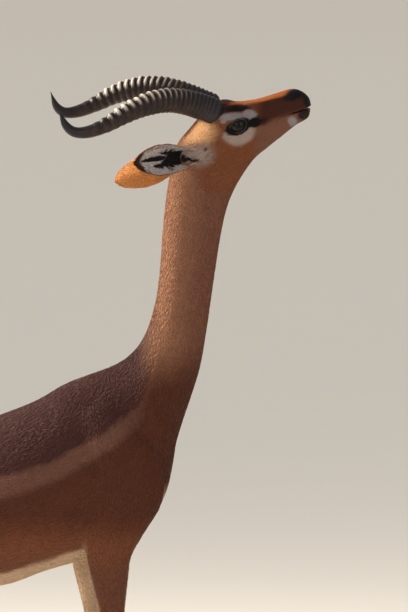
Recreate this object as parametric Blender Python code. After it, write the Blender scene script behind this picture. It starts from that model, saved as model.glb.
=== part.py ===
# A life-size male gerenuk that stands on its four feet and reaches up to browse.
# Metres, +Z up, +X the way the animal faces, +Y its left side.
# The body is one form that thin cuts part into head, neck, trunk and legs.

import math

import bmesh
import bpy
import numpy as np
from mathutils import Matrix, Vector

MM = 0.001
GAP = 0.0003

# Back outline from the tail root to the nape, and the line of buttock, belly, chest and throat
# that faces it, as pairs of x and z in the middle plane. Each pair of points is one section.
BACK_LINE = (
    (-0.648, 0.786), (-0.625, 0.820), (-0.575, 0.843), (-0.515, 0.850), (-0.445, 0.850), (-0.370, 0.857),
    (-0.300, 0.873), (-0.225, 0.902), (-0.155, 0.930), (-0.095, 0.965), (-0.045, 0.985), (-0.005, 0.999),
    (0.022, 1.011), (0.044, 1.026), (0.061, 1.043), (0.074, 1.062), (0.085, 1.086), (0.095, 1.117),
    (0.105, 1.162), (0.112, 1.225), (0.117, 1.297), (0.123, 1.356), (0.130, 1.404), (0.142, 1.452),
    (0.170, 1.500),
)
UNDER_LINE = (
    (-0.655, 0.745), (-0.622, 0.690), (-0.560, 0.640), (-0.480, 0.600), (-0.390, 0.552), (-0.310, 0.527),
    (-0.220, 0.532), (-0.135, 0.562), (-0.060, 0.583), (0.000, 0.598), (0.050, 0.619), (0.095, 0.672),
    (0.125, 0.730), (0.139, 0.788), (0.148, 0.842), (0.166, 0.900), (0.183, 0.950), (0.199, 1.005),
    (0.213, 1.085), (0.226, 1.175), (0.240, 1.268), (0.253, 1.332), (0.268, 1.373), (0.290, 1.409),
    (0.318, 1.450),
)
# Half width of each section, and how far its widest place lies towards the belly.
TRUNK_HALF_WIDTH = (
    0.030, 0.066, 0.092, 0.103, 0.104, 0.110, 0.120, 0.125, 0.121, 0.113, 0.106, 0.099, 0.092, 0.086,
    0.080, 0.074, 0.068, 0.063, 0.058, 0.054, 0.051, 0.049, 0.048, 0.046, 0.028,
)
TRUNK_PEAR = (
    0.0, 0.0, 0.1, 0.15, 0.2, 0.3, 0.35, 0.4, 0.4, 0.45, 0.5, 0.45, 0.35, 0.25,
    0.1, 0.0, -0.05, -0.08, -0.1, -0.1, -0.1, -0.1, -0.08, 0.0, 0.0,
)

# Each limb runs down its stations: x, y (out from the middle), z, half depth and half width.
FORE_LIMB = (
    (-0.040, 0.060, 0.915, 0.036, 0.018),
    (-0.012, 0.074, 0.860, 0.066, 0.032),
    (0.026, 0.082, 0.790, 0.088, 0.040),
    (0.030, 0.088, 0.715, 0.086, 0.044),
    (0.006, 0.090, 0.650, 0.068, 0.039),
    (-0.003, 0.089, 0.605, 0.051, 0.033),
    (0.000, 0.087, 0.550, 0.0405, 0.028),
    (0.006, 0.085, 0.475, 0.0268, 0.0225),
    (0.008, 0.083, 0.415, 0.0215, 0.0190),
    (0.010, 0.082, 0.370, 0.0190, 0.0175),
    (0.013, 0.082, 0.345, 0.0208, 0.0195),
    (0.014, 0.082, 0.322, 0.0212, 0.0196),
    (0.010, 0.082, 0.292, 0.0165, 0.0150),
    (0.009, 0.082, 0.210, 0.0140, 0.0122),
    (0.009, 0.082, 0.130, 0.0138, 0.0125),
    (0.009, 0.082, 0.096, 0.0192, 0.0165),
    (0.019, 0.082, 0.066, 0.0150, 0.0155),
    (0.027, 0.082, 0.040, 0.0185, 0.0180),
    (0.031, 0.082, 0.022, 0.0180, 0.0180),
)
HIND_LIMB = (
    (-0.545, 0.050, 0.800, 0.060, 0.034),
    (-0.545, 0.066, 0.740, 0.096, 0.044),
    (-0.535, 0.076, 0.675, 0.108, 0.047),
    (-0.512, 0.084, 0.605, 0.097, 0.045),
    (-0.500, 0.090, 0.550, 0.078, 0.039),
    (-0.525, 0.091, 0.490, 0.055, 0.031),
    (-0.565, 0.090, 0.435, 0.037, 0.024),
    (-0.610, 0.088, 0.380, 0.0255, 0.0185),
    (-0.645, 0.087, 0.338, 0.0260, 0.0185),
    (-0.651, 0.087, 0.305, 0.0245, 0.0180),
    (-0.648, 0.087, 0.270, 0.0190, 0.0150),
    (-0.643, 0.087, 0.200, 0.0155, 0.0130),
    (-0.638, 0.087, 0.130, 0.0150, 0.0130),
    (-0.634, 0.087, 0.096, 0.0200, 0.0170),
    (-0.623, 0.087, 0.066, 0.0155, 0.0160),
    (-0.614, 0.087, 0.040, 0.0190, 0.0185),
    (-0.610, 0.087, 0.022, 0.0185, 0.0185),
)
# The point of the hock stands out behind, at the end of the tendon.
HOCK_TENDON = (
    (-0.585, 0.090, 0.475, 0.010, 0.010),
    (-0.632, 0.088, 0.410, 0.0075, 0.0075),
    (-0.664, 0.087, 0.362, 0.0085, 0.0085),
    (-0.674, 0.087, 0.338, 0.0110, 0.0110),
    (-0.668, 0.087, 0.312, 0.0080, 0.0100),
)
# How far each limb is set forward of its stations. The shift grows from the first height to the second.
STRIDE = {"fore_right": 0.004, "fore_left": -0.034, "hind_right": 0.030, "hind_left": -0.042}
STRIDE_SPAN = {"fore": (0.860, 0.600), "hind": (0.760, 0.100)}

# Head in its own frame, in millimetres: x to the nose, z to the brow.
# Stations: x, top, bottom, half width, push of the widest place to the jaw.
HEAD = (
    (-60, -8, -60, 30, 0.0), (-42, 13, -90, 39, 0.0), (-20, 28, -104, 44, 0.0),
    (6, 46, -104, 47, 0.0),
    (34, 62, -100, 47, -0.1), (60, 70, -93, 44.5, -0.15),
    (80, 68, -86, 42, -0.15), (98, 60, -76, 39.5, -0.15),
    (118, 55.5, -67, 35.5, -0.1), (140, 53, -56, 30.5, 0.0), (165, 52.5, -45, 26.5, 0.0),
    (190, 53.5, -34, 23.5, 0.0), (210, 54, -26, 22, 0.0), (226, 51, -22, 21.5, 0.05),
    (238, 43, -18, 19, 0.0), (245, 35, -6, 15, 0.0), (251, 25, 7, 8, 0.0),
)
HEAD_PLACE = (0.198, 0.0, 1.490)
HEAD_PITCH = math.radians(16)
HEAD_ROLL = math.radians(11)
HEAD_YAW = math.radians(3.5)

# Swellings and hollows of the head: centre, reach, and height above the plain form.
HEAD_SWELLS = (
    ((50, 27, 60), (21, 18, 18), 11.0),
    ((88, 40, 44), (26, 14, 10), 4.5),
    ((74, 46, -14), (34, 20, 12), 3.0),
    ((34, 46, -58), (36, 24, 34), 3.5),
    ((104, 34, -20), (26, 20, 18), -2.0),
    ((126, 34, 20), (9, 12, 9), -2.5),
    ((150, 28, 12), (24, 14, 22), -1.5),
    ((205, 22, 16), (20, 12, 12), 1.8),
    ((236, 16, 20), (9, 12, 12), 1.5),
    ((222, 15, -12), (14, 12, 10), 1.5),
    ((76, 0, 76), (12, 16, 12), 3.0),
)

EYE_PLACE = (85, 28.5, 16.5)
EYE_RADIUS = 20.5
EYE_BACK_ANGLE = math.radians(100)
EYE_HALF_LENGTH = 18.5
EYE_HALF_HEIGHT = 13.5
EYE_TILT = math.radians(16)
EYE_FRONT_ANGLE = 0.10
EYE_GRID = (8, 16)
LID_THICKNESS = 2.6
LID_SOFTNESS = 2.0
LID_FROM_MIDDLE = 10
LID_SIDES = 20
LID_POINT = 1.25
# The opening between the lids widens outwards: distance out from the eye's middle, and its scale there.
LID_PRISM = ((2, 0.97), (34, 1.08))

NOSTRIL_PLACE = (221, 19.5, 39)
NOSTRIL_SIZE = (15, 6.5, 5)
NOSTRIL_TILT = math.radians(6)
NOSTRIL_END_ANGLE = 0.18
NOSTRIL_LEAN = 0.45
NOSTRIL_INWARD = 0.098
NOSTRIL_GRID = (8, 10)

MOUTH_CORNER = (163, -3)
MOUTH_MIDDLE = (200, 5)
MOUTH_FRONT = (262, 2)
MOUTH_HALF_OPEN = (0.6, 1.2, 6.0)
MOUTH_DEPTH_Y = 11
MOUTH_THROUGH_X = 222
MOUTH_OUT_Y = 50
MOUTH_STEPS = 6

# Horn: its middle line in the head frame, in millimetres, from the brow to the hooked tip.
HORN_LINE = (
    (58, 16, 44), (44, 25.5, 58), (19, 33, 77.5), (-12, 47, 99.5), (-46, 64, 117), (-84, 83, 126),
    (-122, 98, 126.5), (-156, 107.5, 122), (-190, 111.5, 114.5), (-230, 110, 110.5), (-259, 104, 117),
    (-274, 97, 137), (-278, 88.5, 173),
)
HORN_ROOT_SHARE = 0.048
HORN_ROOT_SIZE = (0.50, 0.74)
# half of its depth at each tenth of the way to the tip
HORN_HALF_DEPTH = (28.3, 27.9, 26.4, 25.2, 23.8, 21.0, 18.2, 15.3, 12.2, 7.4, 0.7)
HORN_FLATNESS = 0.72
HORN_RING_FIRST = 8.6
HORN_RING_GROWTH = 0.0341
HORN_RING_END = 318
HORN_RING_HEIGHT = 3.4
HORN_VALLEY_DEPTH = 0.9
HORN_RINGED_SHARE = 0.76
HORN_BACK_SHARE = 0.30
HORN_CREST_SHARE = 0.55
HORN_FIRST_RISE = 0.45
HORN_RISE_GROWTH = 0.9
HORN_FADE_RINGS = 4
HORN_TIP_RADIUS = 0.7
HORN_TIP_CROWDING = 0.8
HORN_ROOT_STEP = 0.6
HORN_LINE_STEPS = 400
HORN_SIDES = 12
HORN_SMOOTH_STEPS = 11

# Ears in the head frame: root, tip, and the way that the cup opens.
EARS = {
    "ear_right": {"root": (2, -38, -27), "tip": (-154, -96, 13), "opens": (0.30, -1.0, 0.10)},
    "ear_left": {"root": (-18, 40, -34), "tip": (-196, 78, -55), "opens": (0.15, 1.0, -0.15)},
}
EAR_HALF_WIDTH = ((0.0, 15), (0.18, 17), (0.33, 26), (0.5, 33), (0.66, 33), (0.8, 26), (0.91, 17), (1.0, 4))
EAR_CUP = ((0.0, 2.6), (0.18, 2.1), (0.36, 1.35), (0.6, 0.85), (1.0, 0.5))
EAR_WALL = 2.4
EAR_RIM_THINNING = 0.55
EAR_BEND = 6.0
EAR_STEPS_ALONG = 15
EAR_STEPS_ACROSS = 9

# The six sides of a box whose corners are given as a lower and an upper ring of four.
BOX_FACES = ((3, 2, 1, 0), (4, 5, 6, 7), (0, 1, 5, 4), (1, 2, 6, 5), (2, 3, 7, 6), (3, 0, 4, 7))
BOX_CORNERS = ((-1, -1), (1, -1), (1, 1), (-1, 1))

# Hooves: two claws to a foot, with a flat sole.
CLAW_LENGTH = 0.049
CLAW_HALF_WIDTH = 0.0082
CLAW_SPREAD = 0.0092
CLAW_TOE_ANGLE = math.radians(52)
CORONET_HEIGHT = 0.031
CORONET_SLOPE = math.radians(17)
CORONET_BLOCK = 0.05
CLAW_SIDES = 14
CLAW_LEVELS = (0.0, 0.06, 0.55, 1.0)
CLAW_SOLE_EDGE = 0.03
CLAW_NARROWING = 0.10
CLAW_SHORTENING = 0.24
CLAW_LEAN = 0.62
CLAW_HEEL = 0.82
CLAW_TOE_POINT = 0.35
CLAW_INNER_WIDTH = 0.72
CLAW_OUTER_WIDTH = 1.12
FOOT_TO_SOLE = 0.006

# Dewclaws: two small horny tips behind each fetlock. Their line runs from inside the leg, as offsets
# back, out to the side and in height from the middle of the fetlock, with the half width there.
DEWCLAW_LINE = (
    (-0.006, 0.0060, 0.000, 0.0062),
    (-0.015, 0.0090, -0.004, 0.0064),
    (-0.020, 0.0105, -0.013, 0.0052),
    (-0.021, 0.0112, -0.021, 0.0026),
)
DEWCLAW_FETLOCK = -4
DEWCLAW_SIDES = 8

# Tail: a thin tapering core that hangs, and a tuft of flat locks on its lower half.
TAIL_LINE = (
    (-0.628, 0.798), (-0.648, 0.796), (-0.670, 0.778), (-0.683, 0.738), (-0.688, 0.684), (-0.688, 0.625),
    (-0.685, 0.572), (-0.681, 0.540),
)
TAIL_HALF_WIDTH = (0.015, 0.0150, 0.0140, 0.0120, 0.0100, 0.0085, 0.0070, 0.0035)
TAIL_FLATNESS = 0.85
TAIL_GRID = (16, 8)
LOCK_COUNT = 14
LOCK_FIRST = 0.50
LOCK_LAST = 0.97
LOCK_LENGTH = 0.078
LOCK_HALF_WIDTH = 0.0058
LOCK_HALF_THICK = 0.0016
LOCK_STEPS = 6
LOCK_SWELL = ((0.0, 0.75), (0.35, 1.0), (0.8, 0.6), (1.0, 0.12))
LOCK_THINNING = ((0.0, 1.0), (0.5, 0.8), (1.0, 0.25))
LOCK_OUTWARD = 0.30
LOCK_RETURN = 0.75
LOCK_TURN = 2.4
LOCK_SINK = (0.25, 0.006)
LOCK_HANG = (0.02, 0.0, -1.0)
LOCK_SPREAD = 0.10
LOCK_CROWDING = 0.9
LOCK_LENGTH_RANGE = (0.85, 0.30, 0.15)
LOCK_SEED = 7

# Thin cuts that part the body: centre, the way the plane faces, and half size of the slab.
PARTING = (
    ((0.218, 0.0, 1.446), (0.46, 0.0, 0.888), (0.16, 0.14)),
    ((0.088, 0.0, 0.918), (0.84, 0.0, 0.54), (0.22, 0.20)),
    ((-0.212, 0.0, 0.715), (0.955, 0.0, 0.295), (0.30, 0.20)),
    ((-0.030, 0.085, 0.572), (0.0, 0.0, 1.0), (0.085, 0.055)),
    ((0.000, -0.085, 0.572), (0.0, 0.0, 1.0), (0.085, 0.055)),
    ((-0.525, 0.093, 0.604), (0.35, 0.0, 0.937), (0.175, 0.072)),
    ((-0.525, -0.093, 0.604), (0.35, 0.0, 0.937), (0.175, 0.072)),
    ((-0.025, 0.082, 0.296), (0.0, 0.0, 1.0), (0.050, 0.035)),
    ((0.010, -0.082, 0.296), (0.0, 0.0, 1.0), (0.050, 0.035)),
    ((-0.668, 0.087, 0.282), (0.0, 0.0, 1.0), (0.050, 0.035)),
    ((-0.630, -0.087, 0.282), (0.0, 0.0, 1.0), (0.050, 0.035)),
)
# Where the middle of each parted piece lies, to know it by.
PIECES = {
    "head": (0.30, 0.0, 1.52),
    "neck": (0.16, 0.0, 1.20),
    "torso_front": (-0.03, 0.0, 0.80),
    "torso_rear": (-0.42, 0.0, 0.72),
    "leg_fore_right_upper": (0.01, -0.085, 0.43),
    "leg_fore_left_upper": (-0.01, 0.085, 0.43),
    "leg_hind_right_upper": (-0.54, -0.088, 0.46),
    "leg_hind_left_upper": (-0.56, 0.088, 0.46),
    "leg_fore_right_lower": (0.015, -0.082, 0.16),
    "leg_fore_left_lower": (-0.02, 0.082, 0.16),
    "leg_hind_right_lower": (-0.62, -0.087, 0.16),
    "leg_hind_left_lower": (-0.67, 0.087, 0.16),
}

BODY_VOXEL = 0.0045
# Creases between the joined forms that are eased on both sides: place, reach and number of passes.
EASED = (
    ((0.300, 0.000, 1.425), 0.055, 40),
    ((0.245, 0.000, 1.425), 0.055, 25),
    ((-0.040, 0.080, 0.910), 0.060, 40),
    ((-0.630, 0.060, 0.760), 0.070, 60),
    ((-0.600, 0.060, 0.660), 0.060, 40),
    ((-0.430, 0.090, 0.640), 0.060, 60),
    ((0.100, 0.070, 0.660), 0.050, 30),
    ((-0.070, 0.090, 0.640), 0.050, 30),
)
EASE_SHARE = 0.6
EASE_ACROSS = 0.7
LIMB_TURN_STEPS = 21
BODY_TRIANGLES = 6000
RELAX_STEPS = 10
RELAX_PULLS = (0.55, -0.58)
TRUNK_GRID = (140, 56)
HEAD_GRID = (90, 56)
LIMB_GRID = (90, 24)
TENDON_GRID = (20, 12)
# Heights above which the head, and under which the lower legs, keep more of their faces.
FINE_HEAD = (1.40, 0.05, 0.38)
FINE_FEET = (0.42, 0.06, 0.20)
SMOOTH_ANGLE = math.radians(50)

COLOURS = {
    "coat_head": ((0.42, 0.17, 0.07), 0.8),
    "coat_neck": ((0.50, 0.25, 0.12), 0.8),
    "coat_back": ((0.22, 0.08, 0.045), 0.8),
    "coat_flank": ((0.40, 0.18, 0.09), 0.8),
    "coat_leg": ((0.44, 0.22, 0.11), 0.8),
    "ear": ((0.60, 0.30, 0.13), 0.8),
    "eye": ((0.012, 0.009, 0.008), 0.08),
    "horn": ((0.05, 0.04, 0.035), 0.45),
    "hoof": ((0.03, 0.026, 0.022), 0.4),
    "tail_tuft": ((0.03, 0.02, 0.018), 0.7),
}


def clear_scene():
    for item in list(bpy.data.objects):
        bpy.data.objects.remove(item, do_unlink=True)


def make_material(name):
    colour, roughness = COLOURS[name]
    material = bpy.data.materials.new(name)
    material.use_nodes = True
    shader = material.node_tree.nodes["Principled BSDF"]
    shader.inputs["Base Color"].default_value = (*colour, 1.0)
    shader.inputs["Roughness"].default_value = roughness
    shader.inputs["Metallic"].default_value = 0.0
    material.diffuse_color = (*colour, 1.0)
    return material


def link_object(name, mesh):
    item = bpy.data.objects.new(name, mesh)
    bpy.context.scene.collection.objects.link(item)
    return item


def make_object(name, points, faces):
    mesh = bpy.data.meshes.new(name)
    mesh.from_pydata([tuple(p) for p in points], [], [tuple(f) for f in faces])
    mesh.update()
    work = bmesh.new()
    work.from_mesh(mesh)
    bmesh.ops.recalc_face_normals(work, faces=work.faces)
    work.to_mesh(mesh)
    work.free()
    return link_object(name, mesh)


def smooth_row(values, places):
    """Catmull-Rom curve through the rows of values, read at places from 0 to len - 1."""
    values = np.asarray(values, float)
    last = len(values) - 1
    first = np.clip(np.floor(places).astype(int), 0, last - 1)
    part = (places - first)[:, None]
    before = values[np.clip(first - 1, 0, last)]
    here = values[first]
    there = values[first + 1]
    after = values[np.clip(first + 2, 0, last)]
    slope_here = (there - before) / 2
    slope_there = (after - here) / 2
    square = part * part
    cube = square * part
    return (
        here * (2 * cube - 3 * square + 1)
        + slope_here * (cube - 2 * square + part)
        + there * (3 * square - 2 * cube)
        + slope_there * (cube - square)
    )


def tube_faces(count, sides):
    """Quads between neighbouring rings, and one flat face on each end."""
    faces = []
    for ring in range(count - 1):
        for side in range(sides):
            nxt = (side + 1) % sides
            faces.append((ring * sides + side, ring * sides + nxt,
                          (ring + 1) * sides + nxt, (ring + 1) * sides + side))
    faces.append(tuple(range(sides))[::-1])
    faces.append(tuple((count - 1) * sides + side for side in range(sides)))
    return faces


def loft_object(name, rings):
    count, sides = rings.shape[:2]
    return make_object(name, rings.reshape(-1, 3), tube_faces(count, sides))


def trunk_rings(count, sides):
    """Sections from the rump up to the poll, each an oval between the back and the under line."""
    table = np.column_stack([BACK_LINE, UNDER_LINE, TRUNK_HALF_WIDTH, TRUNK_PEAR])
    rows = smooth_row(table, np.linspace(0, len(table) - 1, count))
    turn = np.linspace(0, 2 * math.pi, sides, endpoint=False)
    down = (1 - np.cos(turn)) / 2
    back, under = rows[:, None, 0:2], rows[:, None, 2:4]
    middle = back + (under - back) * down[None, :, None]
    across = rows[:, 4:5] * np.sin(turn) * (1 + rows[:, 5:6] * (down - 0.5))
    return np.stack([middle[..., 0], across, middle[..., 1]], axis=2)


def path_rings(centres, half_depth, half_width, sides, turn_steps=1):
    """Ovals across a path that runs near the XZ plane: depth lies in that plane, width along Y.

    Where the path bends, the ovals turn evenly over the given number of steps and so never fold.
    """
    tangent = np.gradient(centres, axis=0)
    tangent /= np.linalg.norm(tangent, axis=1)[:, None]
    edge = turn_steps // 2
    padded = np.concatenate([np.repeat(tangent[:1], edge, 0), tangent, np.repeat(tangent[-1:], edge, 0)])
    window = np.ones(turn_steps) / turn_steps
    tangent = np.column_stack([np.convolve(padded[:, axis], window, "valid") for axis in range(3)])
    tangent /= np.linalg.norm(tangent, axis=1)[:, None]
    depth_way = np.cross(np.array([0.0, 1.0, 0.0]), tangent)
    depth_way /= np.linalg.norm(depth_way, axis=1)[:, None]
    width_way = np.cross(tangent, depth_way)
    turn = np.linspace(0, 2 * math.pi, sides, endpoint=False)
    depth = half_depth[:, None, None] * np.cos(turn)[None, :, None] * depth_way[:, None, :]
    width = half_width[:, None, None] * np.sin(turn)[None, :, None] * width_way[:, None, :]
    return centres[:, None, :] + depth + width


def stride_shift(kind, side, height):
    """How far forward a limb is set at a height, easing in from its top."""
    high, low = STRIDE_SPAN[kind]
    part = np.clip((high - height) / (high - low), 0, 1)
    return STRIDE[kind + "_" + side] * part * part * (3 - 2 * part)


def limb_rings(stations, kind, side, count, sides):
    """A limb on one side, swung so that its foot stands where the stride puts it."""
    table = np.array(stations)
    rows = smooth_row(table, np.linspace(0, len(table) - 1, count))
    sign = 1.0 if side == "left" else -1.0
    centres = np.column_stack([
        rows[:, 0] + stride_shift(kind, side, rows[:, 2]),
        sign * rows[:, 1],
        rows[:, 2],
    ])
    return path_rings(centres, rows[:, 3], rows[:, 4], sides, LIMB_TURN_STEPS)


def head_matrix():
    turn = (
        Matrix.Rotation(-HEAD_PITCH, 4, "Y")
        @ Matrix.Rotation(HEAD_YAW, 4, "Z")
        @ Matrix.Rotation(HEAD_ROLL, 4, "X")
    )
    return Matrix.Translation(HEAD_PLACE) @ turn @ Matrix.Scale(MM, 4)


def place_on_head(points):
    """Points in the head frame, in millimetres, to the body frame in metres."""
    matrix = np.array(head_matrix())
    points = np.asarray(points, float)
    placed = points.reshape(-1, 3) @ matrix[:3, :3].T + matrix[:3, 3]
    return placed.reshape(points.shape)


def head_rings(count, sides):
    """Sections of the head, with its swellings and the mound that the lids make over the eye."""
    table = np.array(HEAD, float)
    rows = smooth_row(table, np.linspace(0, len(table) - 1, count))
    turn = np.linspace(0, 2 * math.pi, sides, endpoint=False)
    down = (1 - np.cos(turn)) / 2
    tall = rows[:, 1:2] + (rows[:, 2:3] - rows[:, 1:2]) * down
    across = rows[:, 3:4] * np.sin(turn) * (1 + rows[:, 4:5] * (down - 0.5))
    points = np.stack([np.repeat(rows[:, 0:1], sides, 1), across, tall], axis=2)
    middle = np.stack([rows[:, 0], 0 * rows[:, 0], (rows[:, 1] + rows[:, 2]) / 2], axis=1)
    outward = points - middle[:, None, :]
    outward[..., 0] = 0
    outward /= np.maximum(np.linalg.norm(outward, axis=2), 1e-6)[..., None]
    moved = points.copy()
    for centre, reach, height in HEAD_SWELLS:
        signs = (1,) if centre[1] == 0 else (1, -1)
        for sign in signs:
            away = (points - np.array(centre) * (1, sign, 1)) / np.array(reach)
            moved += outward * (height * np.exp(-(away ** 2).sum(axis=2)))[..., None]
    return lid_mound(moved)


def lid_mound(points):
    """Lifts the side of the head on to a ball a little larger than the eye, with a soft edge."""
    off_x = points[..., 0] - EYE_PLACE[0]
    off_z = points[..., 2] - EYE_PLACE[2]
    ball = (EYE_RADIUS + LID_THICKNESS) ** 2 - off_x ** 2 - off_z ** 2
    mound = EYE_PLACE[1] + np.sqrt(np.maximum(ball, 0.0))
    plain = np.abs(points[..., 1])
    high = np.maximum(plain, mound)
    blend = np.exp((plain - high) / LID_SOFTNESS) + np.exp((mound - high) / LID_SOFTNESS)
    lifted = high + LID_SOFTNESS * np.log(blend)
    raised = (ball > 0) & (plain > LID_FROM_MIDDLE)
    points[..., 1] = np.where(raised, np.sign(points[..., 1]) * lifted, points[..., 1])
    return points


def evaluated_mesh(item):
    graph = bpy.context.evaluated_depsgraph_get()
    return bpy.data.meshes.new_from_object(item.evaluated_get(graph))


def apply_modifiers(item):
    mesh = evaluated_mesh(item)
    item.modifiers.clear()
    item.data = mesh
    return item


def mesh_arrays(mesh):
    """Points of a mesh, its edges, and the number of neighbours of each point."""
    points = np.empty(len(mesh.vertices) * 3)
    mesh.vertices.foreach_get("co", points)
    points = points.reshape(-1, 3)
    edges = np.empty(len(mesh.edges) * 2, dtype=int)
    mesh.edges.foreach_get("vertices", edges)
    edges = edges.reshape(-1, 2)
    near = np.bincount(edges.ravel(), minlength=len(points))[:, None]
    return points, edges, near


def set_points(mesh, points):
    mesh.vertices.foreach_set("co", points.ravel())
    mesh.update()


def neighbour_offset(points, edges, near):
    """From each point to the mean of its neighbours."""
    total = np.column_stack([
        np.bincount(edges[:, 0], weights=points[edges[:, 1], axis], minlength=len(points))
        + np.bincount(edges[:, 1], weights=points[edges[:, 0], axis], minlength=len(points))
        for axis in range(3)
    ])
    return total / near - points


def relax(mesh, steps):
    """Evens a surface without shrinking it: each pass pulls in, then pushes back out a little more."""
    points, edges, near = mesh_arrays(mesh)
    for step in range(steps):
        for pull in RELAX_PULLS:
            points = points + pull * neighbour_offset(points, edges, near)
    set_points(mesh, points)


def ease_creases(mesh):
    """Evens the skin round each eased place, most at its middle."""
    points, edges, near = mesh_arrays(mesh)
    for centre, reach, passes in EASED:
        away = np.column_stack([points[:, 0], np.abs(points[:, 1]), points[:, 2]]) - np.array(centre)
        distance = np.linalg.norm(away * (1, EASE_ACROSS, 1), axis=1)
        share = EASE_SHARE * np.exp(-(distance / reach) ** 2)[:, None]
        for step in range(passes):
            points = points + share * neighbour_offset(points, edges, near)
    set_points(mesh, points)


def join_objects(name, items):
    """One object that holds the meshes of several."""
    work = bmesh.new()
    for item in items:
        work.from_mesh(item.data)
    mesh = bpy.data.meshes.new(name)
    work.to_mesh(mesh)
    work.free()
    for item in items:
        bpy.data.objects.remove(item, do_unlink=True)
    return link_object(name, mesh)


def make_body():
    """The whole body as one even surface with few faces, fewest on the plain trunk."""
    pieces = [
        loft_object("trunk", trunk_rings(*TRUNK_GRID)),
        loft_object("head_form", place_on_head(head_rings(*HEAD_GRID))),
    ]
    for side in ("right", "left"):
        pieces.append(loft_object("fore_" + side, limb_rings(FORE_LIMB, "fore", side, *LIMB_GRID)))
        pieces.append(loft_object("hind_" + side, limb_rings(HIND_LIMB, "hind", side, *LIMB_GRID)))
        pieces.append(loft_object("tendon_" + side, limb_rings(HOCK_TENDON, "hind", side, *TENDON_GRID)))
    body = join_objects("body", pieces)
    remesh = body.modifiers.new("even", "REMESH")
    remesh.mode = "VOXEL"
    remesh.voxel_size = BODY_VOXEL
    apply_modifiers(body)
    relax(body.data, RELAX_STEPS)
    ease_creases(body.data)
    group = body.vertex_groups.new(name="plain")
    for index, weight in enumerate(plain_weights(body.data)):
        group.add([index], float(weight), "REPLACE")
    thin = body.modifiers.new("fewer", "DECIMATE")
    thin.decimate_type = "COLLAPSE"
    thin.use_collapse_triangulate = True
    thin.ratio = BODY_TRIANGLES / (2.0 * len(body.data.polygons))
    thin.vertex_group = group.name
    thin.vertex_group_factor = 1.0
    apply_modifiers(body)
    body.vertex_groups.clear()
    return body


def plain_weights(mesh):
    """Near 1 where the form is plain, and less on the head and the lower legs."""
    height = mesh_arrays(mesh)[0][:, 2]
    head = np.clip((height - FINE_HEAD[0]) / FINE_HEAD[1], 0, 1)
    feet = np.clip((FINE_FEET[0] - height) / FINE_FEET[1], 0, 1)
    return 1.0 - np.maximum(FINE_HEAD[2] * head, FINE_FEET[2] * feet)


def as_cutter(item):
    item.hide_render = True
    item.display_type = "WIRE"
    return item


def boolean(item, other, operation, keep_other=False):
    """Adds or cuts one closed form, and applies the result."""
    step = item.modifiers.new("form", "BOOLEAN")
    step.operation = operation
    step.solver = "EXACT"
    step.object = other
    apply_modifiers(item)
    if not keep_other:
        bpy.data.objects.remove(other, do_unlink=True)
    return item


def unite(item, others):
    """Joins many closed forms to one by a single union on a collection, then removes them."""
    group = bpy.data.collections.new("joined_to_" + item.name)
    for other in others:
        group.objects.link(other)
    step = item.modifiers.new("joined", "BOOLEAN")
    step.operation = "UNION"
    step.solver = "EXACT"
    step.operand_type = "COLLECTION"
    step.collection = group
    apply_modifiers(item)
    for other in others:
        bpy.data.objects.remove(other, do_unlink=True)
    bpy.data.collections.remove(group)
    return item


def loose_parts(mesh):
    """Lists the vertex sets of the separate surfaces in a mesh."""
    work = bmesh.new()
    work.from_mesh(mesh)
    work.verts.ensure_lookup_table()
    seen = set()
    parts = []
    for start in work.verts:
        if start.index in seen:
            continue
        seen.add(start.index)
        stack = [start]
        found = []
        while stack:
            vert = stack.pop()
            found.append(vert.index)
            for edge in vert.link_edges:
                other = edge.other_vert(vert)
                if other.index not in seen:
                    seen.add(other.index)
                    stack.append(other)
        parts.append(found)
    work.free()
    return parts


def part_mesh(mesh, kept, name):
    work = bmesh.new()
    work.from_mesh(mesh)
    keep = set(kept)
    bmesh.ops.delete(work, geom=[v for v in work.verts if v.index not in keep], context="VERTS")
    bmesh.ops.triangulate(work, faces=work.faces)
    volume = abs(work.calc_volume(signed=True))
    out = bpy.data.meshes.new(name)
    work.to_mesh(out)
    work.free()
    return out, volume


def keep_largest(item):
    """Keeps only the largest closed surface of a node."""
    best = None
    for found in loose_parts(item.data):
        mesh, volume = part_mesh(item.data, found, item.name)
        if best is None or volume > best[1]:
            best = (mesh, volume)
    item.data = best[0]
    return item


def grown_copy(item, name, amount):
    copy = link_object(name, item.data.copy())
    swell = copy.modifiers.new("grown", "DISPLACE")
    swell.direction = "NORMAL"
    swell.mid_level = 0.0
    swell.strength = amount
    apply_modifiers(copy)
    return as_cutter(copy)


def ball_rings(radius):
    """A ball about +Y, from a small flat at the front pole round to a flat back."""
    steps, sides = EYE_GRID
    angles = np.linspace(EYE_FRONT_ANGLE, EYE_BACK_ANGLE, steps)[:, None]
    turn = np.linspace(0, 2 * math.pi, sides, endpoint=False)
    return radius * np.stack([
        np.sin(angles) * np.cos(turn),
        np.cos(angles) + 0 * turn,
        np.sin(angles) * np.sin(turn),
    ], axis=2)


def eye_object(name, sign, grown):
    rings = ball_rings(EYE_RADIUS + grown)
    rings[-1, :, 1] -= grown
    rings = (rings + np.array(EYE_PLACE)) * (1, sign, 1)
    return loft_object(name, place_on_head(rings))


def lid_opening(name, sign):
    """An almond prism that opens the lids down to the eye, tilted up towards the muzzle."""
    turn = np.linspace(0, 2 * math.pi, LID_SIDES, endpoint=False)
    along = EYE_HALF_LENGTH * np.cos(turn)
    tall = EYE_HALF_HEIGHT * np.sign(np.sin(turn)) * np.abs(np.sin(turn)) ** LID_POINT
    x = along * math.cos(EYE_TILT) - tall * math.sin(EYE_TILT)
    z = along * math.sin(EYE_TILT) + tall * math.cos(EYE_TILT)
    rings = [
        np.column_stack([scale * x, 0 * x + out, scale * z]) + np.array(EYE_PLACE)
        for out, scale in LID_PRISM
    ]
    return as_cutter(loft_object(name, place_on_head(np.array(rings) * (1, sign, 1))))


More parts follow.
